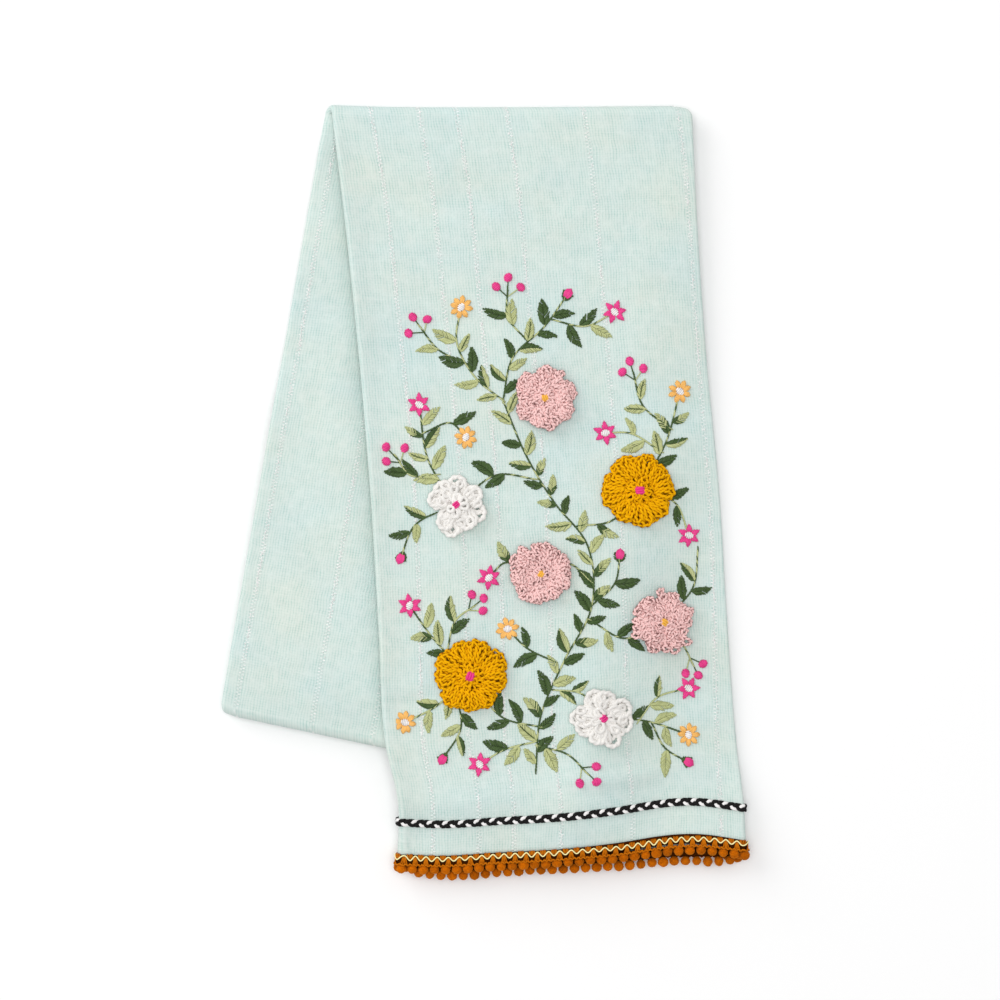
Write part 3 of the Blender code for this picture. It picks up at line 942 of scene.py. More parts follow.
def point_shade(tree):
    """The tone that a piece's points hold, with the painted light and shade in it."""
    return add(tree, "Attribute", {"attribute_name": "shade"}).outputs["Fac"]


def yarn_material(
    name, colour, roughness, sheen=0.0, slant=0.6, contrast=0.35, depth=0.05 * MM, specular=0.3
):
    material, tree, shader = new_material(name, roughness, sheen, specular)
    inputs = {
        "Place": thread_place(tree),
        "Colour": colour,
        "Deep and painted shade": (*[DEEP_AND_SHADE_SHARE * part**DEEP_POWER for part in colour[:3]], 1),
        "Shade": point_shade(tree),
        "Slant": slant,
        "Contrast": contrast,
    }
    fibre = use_group(tree, SPUN_FIBRE, inputs)
    feed(shader.inputs["Base Color"], fibre["Colour"])
    bump(tree, shader, fibre["Height"], 0.6, depth)
    return material


def swell(seed, along, longest):
    """A value from about 0 to 1 that rises and falls slowly along a yarn."""
    waves = np.random.default_rng(seed)
    total = 0.5
    for part in SWELL_PARTS:
        total = total + 0.17 * np.sin(2 * math.pi * along / (longest / part) + waves.uniform(0, 6.3))
    return total


def lay_floats(yarns, number, stripe, first, last, chance):
    """One pair of slub yarns. Where they crowd together, their floats are longer and none is missing."""
    column = column_at(stripe.third, stripe.place * MM)
    along = np.arange(first + 2 * MM, last - 2 * MM, FLOAT_PITCH / 2)
    side = np.where(np.arange(len(along)) % 2, 0.5, -0.5) * FLOATS_APART
    along = along + chance.normal(0, 0.22 * MM, len(along))
    often = swell(20 + number, along, 90 * MM) + chance.uniform(-0.45, 0.45, len(along))
    close = swell(50 + number, along, 110 * MM) > 0.95 - 0.42 * stripe.floats
    side = np.where(close, 0.25 * side, side)
    long = np.where(close, 1.7, chance.uniform(0.6, 1.5, len(along)))
    shown = (often < 0.8 * stripe.floats) | close
    along, side, long = along[shown], side[shown], long[shown]
    stray = chance.normal(0, FLOAT_STRAY, len(along))
    reach = np.array([-0.5, 0, 0.5]) * FLOAT_LENGTH * long[:, None]
    row = np.interp(along[:, None] + reach, ALONG, range(len(ALONG)))
    slid = sample(SLIDES[..., None], column, row[:, 1])[:, 0]
    across = stripe_middle(stripe) + side + stray - slid
    column = np.interp(across, ACROSS, range(len(ACROSS)))[:, None] + 0 * reach
    lift = CLOTH / 2 + np.array([-0.22, 0.1, -0.22]) * MM
    out = unit(sample(NORMALS, column, row))
    bulk = FLOAT_HALF * chance.uniform(0.45, 1.2, (len(along), 1)) * np.array([0.5, 1.05, 0.5])
    tone = chance.uniform(0.3, 0.8, (len(along), 1))
    yarns.lay(sample(POINTS, column, row) + out * lift[:, None], out, bulk, 4, tone, flat=0.8)


def make_slub_yarns():
    yarns = Yarns()
    chance = np.random.default_rng(11)
    rear = len(ROW_RUNS[0][1]) + len(ROW_RUNS[1][1])  # the back's first row
    spans = {
        MIDDLE: (ALONG[0], ALONG[rear - FOLD_CLEAR]),
        OUTER: (ALONG[rear + FOLD_CLEAR], ALONG[rear + STRIP_ROWS]),
    }
    for number, stripe in enumerate(STRIPES):
        if stripe.third in spans:
            lay_floats(yarns, number, stripe, *spans[stripe.third], chance)
    return yarns.finish("slub_yarns", yarn_material("white slub yarn", SLUB_WHITE, 0.8, sheen=0.3))


slub_yarns = make_slub_yarns()


# --------------------------------------------------------------------------------------------------
# Braid. A flat three-strand plait of cotton cord, two strands black and one white, sewn across the front end
# and on round both side folds.
# --------------------------------------------------------------------------------------------------

BRAID_FROM_END = 17.2 * MM
BRAID_REPEAT = 6.8 * MM  # length in which a strand comes back to the same edge
BRAID_SWING = 1.08 * MM  # of a strand's middle to either side
BRAID_RISE = 0.30 * MM  # and up and down
BRAID_STRAND = 0.80 * MM  # half a strand's width
BRAID_LIFT = 1.05 * MM
BRAID_BLACK = (0.010, 0.009, 0.009, 1)
BRAID_WHITE = (0.90, 0.88, 0.87, 1)
BRAID_STEP = 0.42 * MM

END_STEP = 1.0 * MM
END_ROWS_PAST = 8  # rows of points past the cloth's end, where the balls hang
END_ROWS = np.arange(-END_ROWS_PAST, 27) * END_STEP  # distances from the cloth's end
END_COLUMNS = 1.2 * MM  # between columns on the flat
FOLD_COLUMNS = 17  # round the right fold
END_COLUMN_RUNS = [
    (INNER, steps(INNER_EDGE, PANEL - FOLD_SHOULDER, END_COLUMNS)),
    (RIGHT_FOLD, np.linspace(0, 1, FOLD_COLUMNS)),
    (MIDDLE, steps(PANEL - FOLD_SHOULDER, FOLD_SHOULDER, END_COLUMNS)),
    (LEFT_FOLD, np.linspace(0, 1, 21)),
    (OUTER, steps(FOLD_SHOULDER, PANEL - OUTER_EDGE, END_COLUMNS)),
]
END_POINTS = cloth_grid(END_COLUMN_RUNS, [(FRONT, END_ROWS)])
END_NORMALS = facing(END_POINTS)
END_LENGTHS = lengths(END_POINTS[:, END_ROWS_PAST])  # along the cloth's end, from the inner long edge
RIGHT_FOLD_MIDDLE = END_LENGTHS[len(END_COLUMN_RUNS[0][1]) + FOLD_COLUMNS // 2]


def along_end(margin, step):
    """Even places along the cloth's end, short of both long edges by a margin."""
    return steps(margin, END_LENGTHS[-1] - margin, step)


def on_end(along, from_end, lift):
    """Points over the cloth near its front end, and the ways out of it there."""
    along, from_end, lift = np.broadcast_arrays(along, from_end, lift)
    column = np.interp(along, END_LENGTHS, range(len(END_LENGTHS)))
    row = (from_end - END_ROWS[0]) / END_STEP
    out = unit(sample(END_NORMALS, column, row))
    return sample(END_POINTS, column, row) + out * lift[..., None], out


def make_braid():
    along = along_end(1.2 * MM, BRAID_STEP)
    black, white = Yarns(), Yarns()
    # edge paints shade down the cords' sides and between their plies, and light on their tops
    cord = {"flat": 0.55, "plies": 3, "twist": 2.6 * MM, "bulge": 0.07, "edge": 0.5}
    for number, yarns in enumerate((black, white, black)):
        turn = 2 * math.pi * (along / BRAID_REPEAT + number / 3)
        aside = BRAID_SWING * (np.sin(turn) + 0.14 * np.sin(3 * turn))
        lift = BRAID_LIFT - BRAID_RISE * np.sin(2 * turn)
        path, out = on_end(along, BRAID_FROM_END + aside, lift)
        yarns.lay(path[None], out[None], BRAID_STRAND * (0.90 if yarns is white else 1.04), 9, 0.6, **cord)
    black_cord = yarn_material(
        "black braid cord", BRAID_BLACK, 0.7, slant=0.5, contrast=0.8, specular=0.12
    )
    white_cord = yarn_material("white braid cord", BRAID_WHITE, 0.7, sheen=0.1, slant=0.5)
    pieces = [black.finish("braid_black", black_cord), white.finish("braid_white", white_cord)]
    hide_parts("braid_trim")
    return pieces


braid = make_braid()


# --------------------------------------------------------------------------------------------------
# Pom-pom trim. A looped orange gimp with a cream wavy thread through it, and a row of velvet balls below,
# sewn along the front end and on round both side folds.
# --------------------------------------------------------------------------------------------------

BALL_PITCH = 4.8 * MM
BALL_BELOW = 2.75 * MM  # a ball's middle below the cloth's end
BALL_RADIUS = 2.14 * MM
BALL_PILE = 0.022  # how far the pile stands up or lies down, over the radius
TRIM_SAG = 0.95 * MM  # of the trim on the right of the front
TRIM_SAG_REACH = 75 * MM
HEADING_TOP = 3.3 * MM
HEADING_FOOT = -0.6 * MM
TUFT_HALF = 0.34 * MM  # half a strand's thickness
POST_HALF = 0.36 * MM
CORD_FROM_END = -0.85 * MM
CORD_HALF = 0.42 * MM
CORD_WIND = 0.29 * MM  # length in which the cord under the heading winds on by a radian
WAVE_MIDDLE = 2.05 * MM
WAVE_SWING = 0.9 * MM
WAVE_HALF = 0.29 * MM
WAVE_LIFT = 1.42 * MM
# The strands of the heading, as places along, from the cloth's end and out of it, in millimetres
TUFT = [(0.45, 1.5, 0.8), (0.8, 2.3, 1.1), (0.95, 2.9, 1.0), (0.9, 3.4, 0.5)]
POST = [(0.3, 2.5, 0.8), (0.5, 1.6, 1.1), (0.75, 0.5, 1.1), (1.15, -0.95, 1.2)]
STRAND_LEANS = (-1, -0.33, 0.33, 1)
GIMP_ORANGE = (0.56, 0.155, 0.001, 1)
BALL_ORANGE = (0.77, 0.180, 0.0005, 1)
BALL_DEEP_AND_SHADE = (0.17, 0.034, 0.001, 1)
VELVET_SHEEN = (1.0, 0.50, 0.06, 1)
# Painted shade: the near-black colour of the tape that stands for the shade in the heading
SHADE_TAPE_BROWN = (0.060, 0.014, 0.001, 1)
WAVE_CREAM = (1.0, 0.89, 0.42, 1)
BALL_PLACES = np.arange(
    RIGHT_FOLD_MIDDLE + BALL_PITCH / 4 - BALL_PITCH * math.floor(RIGHT_FOLD_MIDDLE / BALL_PITCH),
    END_LENGTHS[-1] - 1 * MM,
    BALL_PITCH,
)


def on_trim(along, from_end, lift):
    """Places on the trim, which sags a little from the cloth past the right fold."""
    past_fold = np.clip((along - RIGHT_FOLD_MIDDLE) / TRIM_SAG_REACH, 0, 1)
    return on_end(along, from_end - TRIM_SAG * np.sin(math.pi * past_fold), lift)


def gimp_strands(yarns, places, shape, lean, radius, tone, chance):
    """The same short strand at every place, leaning aside."""
    along, from_end, lift = np.array([(lean * place[0], *place[1:]) for place in shape]).T * MM
    loose = chance.normal(0, 0.07 * MM, (3, len(places), len(along)))
    path, out = on_trim(places[:, None] + along + loose[0], from_end + loose[1], lift + 0.5 * loose[2])
    tone = tone + chance.uniform(-0.25, 0.25, (len(places), 1))
    # edge paints shade down the strands' sides and between their plies, and light on their tops
    yarns.lay(path, out, radius, 6, tone, plies=2, twist=1.6 * MM, bulge=0.12, edge=1.2)


def make_heading():
    chance = np.random.default_rng(5)
    yarns = Yarns()
    valleys = BALL_PLACES[:-1] + BALL_PITCH / 4
    for lean in STRAND_LEANS:
        gimp_strands(yarns, valleys, TUFT, lean, TUFT_HALF, 0.4, chance)
        gimp_strands(yarns, valleys + BALL_PITCH / 2, POST, lean, POST_HALF, 0.45, chance)
    along = along_end(1.0 * MM, 0.25 * MM)
    turn = along / CORD_WIND
    path, out = on_trim(along, CORD_FROM_END + 0.3 * MM * np.sin(turn), (1.35 + 0.2 * np.cos(turn)) * MM)
    # edge paints shade down the cord's sides and between its plies, and light on its top
    yarns.lay(path[None], out[None], CORD_HALF, 7, 0.5, plies=2, twist=1.8 * MM, bulge=0.2, edge=1.1)
    gimp = yarn_material("orange gimp", GIMP_ORANGE, 0.8, slant=0.7, contrast=0.6, specular=0.1)
    return yarns.finish("trim_heading", gimp)


def make_shade_tape():
    """A dark tape under the heading, on both faces of the cloth, painted near black as painted shade in the
    heading's holes and between the rows of balls.
    """
    along = along_end(1.5 * MM, 1.6 * MM)
    yarns = Yarns()
    for face in (-1, 1):
        path, out = on_end(along, (HEADING_TOP + HEADING_FOOT) / 2, 0.5 * face * MM)
        yarns.lay(path[None], out[None], (HEADING_TOP - HEADING_FOOT) / 2 + 0.1 * MM, 8, 0.5, flat=0.07)
    return yarns.finish("trim_shade_tape", yarn_material("painted shade tape", SHADE_TAPE_BROWN, 0.95, specular=0.03))


def make_wavy_thread():
    chance = np.random.default_rng(6)
    along = along_end(1.2 * MM, 0.4 * MM)
    turn = 2 * math.pi * (along - BALL_PLACES[0] - BALL_PITCH / 4) / BALL_PITCH
    swing = WAVE_SWING * (1 + 0.12 * np.sin(along / (9 * MM)) + chance.normal(0, 0.01, len(along)))
    path, out = on_trim(along, WAVE_MIDDLE - swing * np.cos(turn), WAVE_LIFT)
    yarns = Yarns()
    # edge paints shade down the thread's sides and light on its top
    yarns.lay(path[None], out[None], WAVE_HALF, 6, 1.0, flat=0.8, edge=0.3)
    return yarns.finish("wavy_thread", yarn_material("cream thread", WAVE_CREAM, 0.55, sheen=0.2))


def ball_material():
    """Velvet pile, painted deep between the tufts and lighter on them, as painted shade and painted light on
    the pile.
    """
    material, tree, shader = new_material("orange velvet", 0.95, sheen=0.35, specular=0.05)
    feed(shader.inputs["Sheen Roughness"], 0.5)
    feed(shader.inputs["Sheen Tint"], VELVET_SHEEN)
    place = add(tree, "TexCoord").outputs["Object"]
    tufts = noise(tree, place, (2600, 2600, 2600), 3.0, 0.65)
    # The points' shade holds each ball's random tone, and painted light and shade where its pile stands up
    # or lies down
    tone = 1.1 * tufts + (Amount(point_shade(tree)) - 0.55)
    feed(shader.inputs["Base Color"], blend_colours(tree, tone, BALL_DEEP_AND_SHADE, BALL_ORANGE))
    bump(tree, shader, tufts, 0.8, 0.12 * MM)
    return material


def make_balls():
    chance = np.random.default_rng(7)
    shape = bmesh.new()
    bmesh.ops.create_icosphere(shape, subdivisions=3, radius=1)
    round_points = np.array([vert.co for vert in shape.verts])
    round_faces = np.array([[vert.index for vert in face.verts] for face in shape.faces])
    shape.free()
    drop = chance.normal(0, 0.14 * MM, len(BALL_PLACES))
    middles, _ = on_trim(BALL_PLACES, -BALL_BELOW + drop, chance.normal(0, 0.05 * MM, len(BALL_PLACES)))
    verts, faces, shades = [], [], []
    for number, middle in enumerate(middles):
        turn = np.linalg.qr(chance.normal(size=(3, 3)))[0]
        turned = round_points @ (turn * np.linalg.det(turn))
        size = BALL_RADIUS * chance.uniform(0.93, 1.03)
        pile = BALL_PILE * np.sin(turned @ chance.normal(0, 9, (3, 5)) + chance.uniform(0, 6, 5)).sum(axis=1)
        stretch = 1 + chance.normal(0, 0.035, 3)
        verts.append(middle + size * (1 + pile)[:, None] * turned * stretch)
        faces.append(round_faces + number * len(round_points))
        # Each ball's tone differs at random, and is painted lighter where its pile stands up and darker
        # where it lies down, as painted light and shade
        shades.append(np.full(len(round_points), chance.uniform(0.35, 0.65)) + 2.5 * pile)
    verts, faces, shades = np.concatenate(verts), np.concatenate(faces), np.concatenate(shades)
    verts[:, 2] = np.maximum(verts[:, 2], 0.0)
    return new_piece("pom_poms", verts, [faces], None, ball_material(), shades)


trim = [make_balls(), make_heading(), make_shade_tape(), make_wavy_thread()]
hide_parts("pompom_trim")


# --------------------------------------------------------------------------------------------------
# Mustard crochet flowers. Thick wool worked in rounds: a ring of short stitches, then a round of tall ones
# in shallow scallops, finished with a chain. Each is tacked on through its middle with a hot pink knot.
# --------------------------------------------------------------------------------------------------

MUSTARD_FLOWERS = {"mustard_low": (-6, -78), "mustard_high": (66, 1)}
MUSTARD_RADIUS = 16.0  # millimetres, as are all the sizes of the flowers
MUSTARD_SCALLOPS = 9
MUSTARD_STITCHES = 3  # tall stitches to a scallop
MUSTARD_YARN = 0.80  # half its thickness
MUSTARD = (0.87, 0.430, 0.002, 1)
HOT_PINK = (0.86, 0.055, 0.290, 1)


class Round(NamedTuple):
    """A round of loops: how far out it starts, how many, how long, wide and high they are."""

    start: float
    stitches: int
    long: float
    wide: float
    height: float


MUSTARD_ROUNDS = [Round(1.6, 13, 5.4, 2.3, 3.0), Round(1.2, 8, 3.2, 2.2, 3.9)]


def on_front(x, y, lift):
    """Points over the front's face and the ways out of it there, from places in millimetres seen from
    above."""
    x, y, lift = np.broadcast_arrays(np.asarray(x) * MM, np.asarray(y) * MM, np.asarray(lift) * MM)
    left, right = front_x(0, y), front_x(1, y)
    across = (x - left) / (right - left)
    part = FRONT_LENGTH * (y - end_y(across)) / (top_y(across) - end_y(across))
    row = np.interp(part, ROW_RUNS[0][1], range(len(ROW_RUNS[0][1])))
    column = column_at(MIDDLE, across * PANEL)
    out = unit(sample(NORMALS, column, row))
    return sample(POINTS, column, row) + out * (CLOTH / 2 + lift)[..., None], out


class Crochet:
    """A flower in the making. A place on it is a reach from its middle and an angle round it."""

    def __init__(self, centre, seed, **ply):
        self.centre = centre
        self.chance = np.random.default_rng(seed)
        self.first = self.chance.uniform(0, 0.7)
        self.yarns = Yarns()
        self.ply = {"plies": 2, **ply}

    def near(self, value, spread, count=None):
        """Values that come out a little off the one meant."""
        return value + self.chance.normal(0, spread, count)

    def petal_turn(self, petal, petals, spread):
        """The angle of a petal's middle."""
        return self.near(self.first + 2 * math.pi * petal / petals, spread)

    def all_round(self, count, spread):
        """Angles spread right round the middle."""
        return self.near(np.arange(count), spread, count) / count * 2 * math.pi

    def lay(self, x, y, height, radius, sides, tone, **ply):
        """Yarn along paths, from places beside the flower's middle."""
        path, out = on_front(self.centre[0] + x, self.centre[1] + y, height)
        self.yarns.lay(path, out, radius * MM, sides, tone, **ply)

    def coil(self, last, height, radius, tone):
        """Close rounds of yarn under the stitches, from the middle out. Its tone paints the gaps between the
        stitches: dark as painted shade under the mustard and pink flowers, light as painted light under the
        white ones.
        """
        turn = np.arange(0, 2 * math.pi * last / (1.7 * radius), 0.22)
        reach = 1 + (last - 1) * turn[None] / turn[-1]
        self.lay(reach * np.cos(turn), reach * np.sin(turn), height, radius, 7, tone)

    def loops(self, reach, angle, way, long, wide, height, radius, tone, rise=0.6, bow=0.0):
        """Teardrop stitches, out along one side, round the end and back. Each runs its own way from its
        place, rises on the way out, and bows aside."""
        turn = np.linspace(0, 2 * math.pi, max(12, round(5.4 * np.mean(long))))
        out = (1 - np.cos(turn)) / 2
        given = np.broadcast_arrays(reach, angle, way, long, wide, height, tone, bow)
        reach, angle, way, long, wide, height, tone, bow = (value[:, None] for value in given)
        along = long * out
        aside = wide * (np.sin(turn) * np.sqrt(out) / 1.5) + bow * np.sin(math.pi * out)
        x = reach * np.cos(angle) + along * np.cos(way) - aside * np.sin(way)
        y = reach * np.sin(angle) + along * np.sin(way) + aside * np.cos(way)
        lift = height + rise * np.sin(math.pi * out) + 0.2 * np.sin(turn)
        self.lay(x, y, lift, radius, 7, tone, **self.ply)

    def chain(self, reach, angle, height, link, radius, tone):
        """A chain of teardrop links along a path round the middle."""
        x, y = reach * np.cos(angle), reach * np.sin(angle)
        gone = lengths(np.stack([x, y], axis=-1))
        at = np.linspace(0, gone[-1] - link, max(2, round(gone[-1] / link)))
        x1, y1 = np.interp(at, gone, x), np.interp(at, gone, y)
        x2, y2 = np.interp(at + link, gone, x), np.interp(at + link, gone, y)
        self.loops(
            reach=np.hypot(x1, y1),
            angle=np.arctan2(y1, x1),
            way=self.near(np.arctan2(y2 - y1, x2 - x1), 0.12, len(at)),
            long=self.near(1.75 * link, 0.15, len(at)),
            wide=self.near(0.95 * link, 0.1, len(at)),
            height=self.near(np.interp(at, gone, np.broadcast_to(height, gone.shape)), 0.12, len(at)),
            tone=tone + self.chance.uniform(-0.15, 0.15, len(at)),
            radius=radius,
        )

    def knot(self, size, height, radius):
        """Yarns in short fat stitches one way and then across them, over the flower's middle."""
        turn = self.chance.uniform(0, 3)
        self.yarns = Yarns()
        along = size * np.linspace(-1, 1, 5)[None]
        for layer in range(2):
            angle = turn + layer * math.pi / 2
            for offset in (-0.6, 0, 0.6):
                aside = size * offset * (1 - 0.25 * (along / size) ** 2)
                x = along * math.cos(angle) - aside * math.sin(angle)
                y = along * math.sin(angle) + aside * math.cos(angle)
                lift = height + 0.45 * layer - 0.8 * (along / size) ** 4
                # The lower layer is painted darker than the one across it, as painted shade under it
                self.lay(x, y, lift, radius, 7, 0.35 + 0.3 * layer)


def mustard_scallop(flower, petal):
    """Tall stitches that fan out, two short ones on top of them, and the chain round their ends."""
    near, chance = flower.near, flower.chance
    middle = flower.petal_turn(petal, MUSTARD_SCALLOPS, 0.04)
    long = MUSTARD_RADIUS * chance.uniform(0.94, 1.03)
    half = math.pi / MUSTARD_SCALLOPS * chance.uniform(0.94, 1.05)
    level = chance.normal(0, 0.25)
    count = MUSTARD_STITCHES
    lean = near(np.linspace(-0.74, 0.74, count), 0.07, count)
    start = near(5.6, 0.5, count)
    flower.loops(
        reach=start,
        angle=middle + half * lean,
        long=long - 0.4 - start - 3.4 * lean**2,
        wide=near(3.7, 0.3, count),
        way=near(middle + half * lean * 1.25, 0.10, count),
        height=near(2.4 + level, 0.25, count),
        tone=chance.uniform(0.35, 0.65, count),
        bow=chance.normal(0, 0.55, count),
        radius=MUSTARD_YARN,
        rise=0.9,
    )
    way = middle + half * near(np.array([-0.4, 0.4]), 0.06, 2) * 1.2
    flower.loops(
        reach=6.4,
        angle=way,
        way=way,
        long=near(long - 8.2, 0.4, 2),
        wide=2.4,
        height=3.6 + level,
        radius=0.74,
        tone=0.5,
        rise=0.5,
    )
    across = np.linspace(-1, 1, 40)
    flower.chain(
        reach=long - 1.6 - 3.0 * across**4,
        angle=middle + half * across,
        height=1.5 + level - 0.5 * across**2,
        link=2.3,
        radius=0.66,
        tone=0.35,
    )


def make_mustard_flower(name, centre, seed):
    # The ply settings paint shade down the yarns' sides and between their plies, and light on their tops
    flower = Crochet(centre, seed, twist=4.4 * MM, bulge=0.32, edge=2.6)
    # The coil is painted nearly the deep colour, as painted shade in the gaps between the stitches
    flower.coil(last=MUSTARD_RADIUS - 3.2, height=0.9, radius=1.1, tone=-0.9)
    for petal in range(MUSTARD_SCALLOPS):
        mustard_scallop(flower, petal)
    for ring in MUSTARD_ROUNDS:
        count = ring.stitches
        angle = flower.all_round(count, 0.12)
        flower.loops(
            reach=ring.start,
            angle=angle,
            way=flower.near(angle, 0.16, count),
            long=flower.near(ring.long, 0.4, count),
            wide=flower.near(ring.wide, 0.15, count),
            height=flower.near(ring.height, 0.2, count),
            tone=flower.chance.uniform(0.35, 0.65, count),
            radius=0.68,
            rise=0.5,
        )
    crochet = flower.yarns.finish("crochet_" + name, MUSTARD_WOOL)
    flower.knot(size=1.8, height=5.0, radius=0.55)
    return crochet, flower.yarns.finish("knot_" + name, HOT_PINK_WOOL)


MUSTARD_WOOL = yarn_material(
    "mustard wool", MUSTARD, 0.9, slant=0.8, contrast=0.7, depth=0.10 * MM, specular=0.05
)
HOT_PINK_WOOL = yarn_material(
    "hot pink wool", HOT_PINK, 0.8, sheen=0.1, slant=0.8, contrast=0.5, depth=0.08 * MM, specular=0.1
)
flowers = []
for number, (name, centre) in enumerate(MUSTARD_FLOWERS.items()):
    flower, pink_knot = make_mustard_flower(name, centre, 40 + number)
    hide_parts("flower_" + name)
    flowers += [flower, pink_knot]


# --------------------------------------------------------------------------------------------------
# White crochet flowers. Thick smooth cotton: petals of one loop each, with stitches inside them, and a few
# small pink stitches in the middle.
# --------------------------------------------------------------------------------------------------

WHITE_FLOWERS = {"white_low": (50, -96), "white_high": (-12, -5)}
WHITE_RADIUS = 13.8
WHITE_PETALS = 8
WHITE_ROUNDS = [Round(1.2, 8, 3.8, 2.7, 3.6), Round(4.2, 11, 3.8, 2.7, 3.3), Round(7.2, 9, 3.8, 2.7, 2.9)]
WHITE_COTTON = (0.92, 0.895, 0.86, 1)


def petal_loop(turn, reach, width, start, points, blunt=0.6):
    """Reach and angle along a loop from the middle out round a petal's end and back."""
    share = np.linspace(0.06, 0.94, points) * math.pi
    out = start + (reach - start) * np.sin(share) ** blunt
    aside = -width / 2 * np.cos(share) * (0.3 + 0.7 * (out / reach) ** 1.5)
    return np.hypot(out, aside), turn + np.arctan2(aside, out)


def white_petal(flower, petal):
    """One loop of yarn round the petal, and three stitches inside it."""
    near, chance = flower.near, flower.chance
    turn = flower.petal_turn(petal, WHITE_PETALS, 0.10)
    long = (WHITE_RADIUS - 1.0) * chance.uniform(0.84, 1.04)
    wide = chance.uniform(8.2, 11.0)
    level = chance.normal(0, 0.5)
    reach, angle = petal_loop(turn, long, wide, 3.0, 46)
    arch = np.sin(np.linspace(0, math.pi, 46))
    angle = (angle + chance.normal(0, 0.08) * arch)[None]
    tone = chance.uniform(0.45, 0.65)
    height = 2.2 + level + 1.0 * arch**0.5
    flower.lay(reach * np.cos(angle), reach * np.sin(angle), height, 1.0, 10, tone, **flower.ply)
    lean = near(np.array([-1.1, -0.1, 1.0]), 0.15, 3)
    inner = near(long - 3.4 - 0.9 * np.abs(lean), 0.6, 3)
    wide = near(3.4, 0.4, 3)
    way = near(turn + 0.24 * lean, 0.08, 3)
    flower.loops(
        reach=2.4,
        angle=way,
        way=way,
        long=inner,
        wide=wide,
        height=near(1.9 + 0.6 * level, 0.3, 3),
        bow=chance.normal(0, 0.5, 3),
        tone=chance.uniform(0.4, 0.65, 3),
        radius=0.86,
        rise=0.9,
    )


def make_white_flower(name, centre, seed):
    flower = Crochet(centre, seed, twist=4.6 * MM, bulge=0.2, edge=0.0)
    # The coil is painted light, as painted light in the gaps between the petals
    flower.coil(last=7.5, height=1.0, radius=1.3, tone=0.9)
    for petal in range(WHITE_PETALS):
        white_petal(flower, petal)
    for ring in WHITE_ROUNDS:
        count = ring.stitches
        angle = flower.all_round(count, 0.3)
        flower.loops(
            reach=ring.start,
            angle=angle,
            long=flower.near(ring.long, 0.5, count),
            wide=flower.near(ring.wide, 0.4, count),
            way=flower.near(angle, 0.8, count),
            height=flower.near(ring.height, 0.3, count),
            tone=flower.chance.uniform(0.4, 0.65, count),
            radius=0.82,
            rise=0.4,
        )
    crochet = flower.yarns.finish("crochet_" + name, WHITE_YARN)
    flower.knot(size=1.5, height=4.9, radius=0.42)
    return crochet, flower.yarns.finish("knot_" + name, HOT_PINK_WOOL)


WHITE_YARN = yarn_material(
    "white cotton yarn",
    WHITE_COTTON,
    0.8,
    sheen=0.1,
    slant=0.5,
    contrast=0.16,
    depth=0.06 * MM,
    specular=0.1,
)
for number, (name, centre) in enumerate(WHITE_FLOWERS.items()):
    flower, pink_knot = make_white_flower(name, centre, 50 + number)
    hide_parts("flower_" + name)
    flowers += [flower, pink_knot]


# --------------------------------------------------------------------------------------------------
# Dusty pink crochet flowers. Thin curly wool in blunt petals, ruffled so that it stands up in small loops,
# with a few yellow stitches in the middle.
# --------------------------------------------------------------------------------------------------

PINK_FLOWERS = {"pink_low": (76, -55), "pink_mid": (24, -34), "pink_top": (26, 41)}
PINK_RADIUS = 13.0
PINK_PETALS = 6
DUSTY_PINK = (0.92, 0.60, 0.58, 1)
YELLOW = (0.95, 0.52, 0.07, 1)
PINK_ROUNDS = [Round(1.0, 8, 2.6, 1.9, 3.4), Round(2.4, 10, 2.6, 1.9, 2.9)]


class Row(NamedTuple):
    """A row of curly loops across a petal: how far out, how many, and how much lower than the top ones."""

    out: float
    loops: int
    low: float


class Edge(NamedTuple):
    """A chain round a petal: how much shorter and narrower than the petal it is, its height and its tone."""

    shorter: float
    narrower: float
    points: int
    height: float
    tone: float


PINK_ROWS = [
    Row(3.6, 4, 0.6),
    Row(5.4, 4, 0.3),
    Row(7.2, 5, 0.1),
    Row(9.0, 5, 0.3),
    Row(4.6, 3, 1.5),
    Row(7.4, 3, 1.4),
]
PINK_EDGES = [Edge(0.0, 0.0, 46, 1.6, 0.5), Edge(2.0, 3.0, 40, 2.3, 0.45)]


def pink_petal(flower, petal):
    """Two chained edges, one above and inside the other, and curly loops all over the petal."""
    near, chance = flower.near, flower.chance
    turn = flower.petal_turn(petal, PINK_PETALS, 0.09)
    long = (PINK_RADIUS - 0.8) * chance.uniform(0.88, 1.05)
    wide = chance.uniform(8.8, 10.8)
    level = chance.normal(0, 0.3)
    for edge in PINK_EDGES:
        reach, angle = petal_loop(turn, long - edge.shorter, wide - edge.narrower, 3.2, edge.points, 0.45)
        flower.chain(reach, angle, edge.height + level, link=1.7, radius=0.56, tone=edge.tone)
    for row in PINK_ROWS:
        count = row.loops
        aside = near(np.linspace(-1, 1, count) * (1.0 + 0.27 * row.out), 0.35, count)
        out = near(row.out, 0.45, count)
        flower.loops(
            reach=np.hypot(out, aside),
            angle=turn + np.arctan2(aside, out),
            way=near(turn, 1.1, count),
            long=near(4.0, 0.6, count),
            wide=near(2.3, 0.3, count),
            height=near(3.1 + level - row.low, 0.4, count),
            # Loops of the lower rows are painted darker, as painted shade under the top ones
            tone=chance.uniform(0.3, 0.7, count) - 0.15 * (row.low > 1),
            bow=chance.normal(0, 0.8, count),
            radius=0.68,
            rise=0.7,
        )


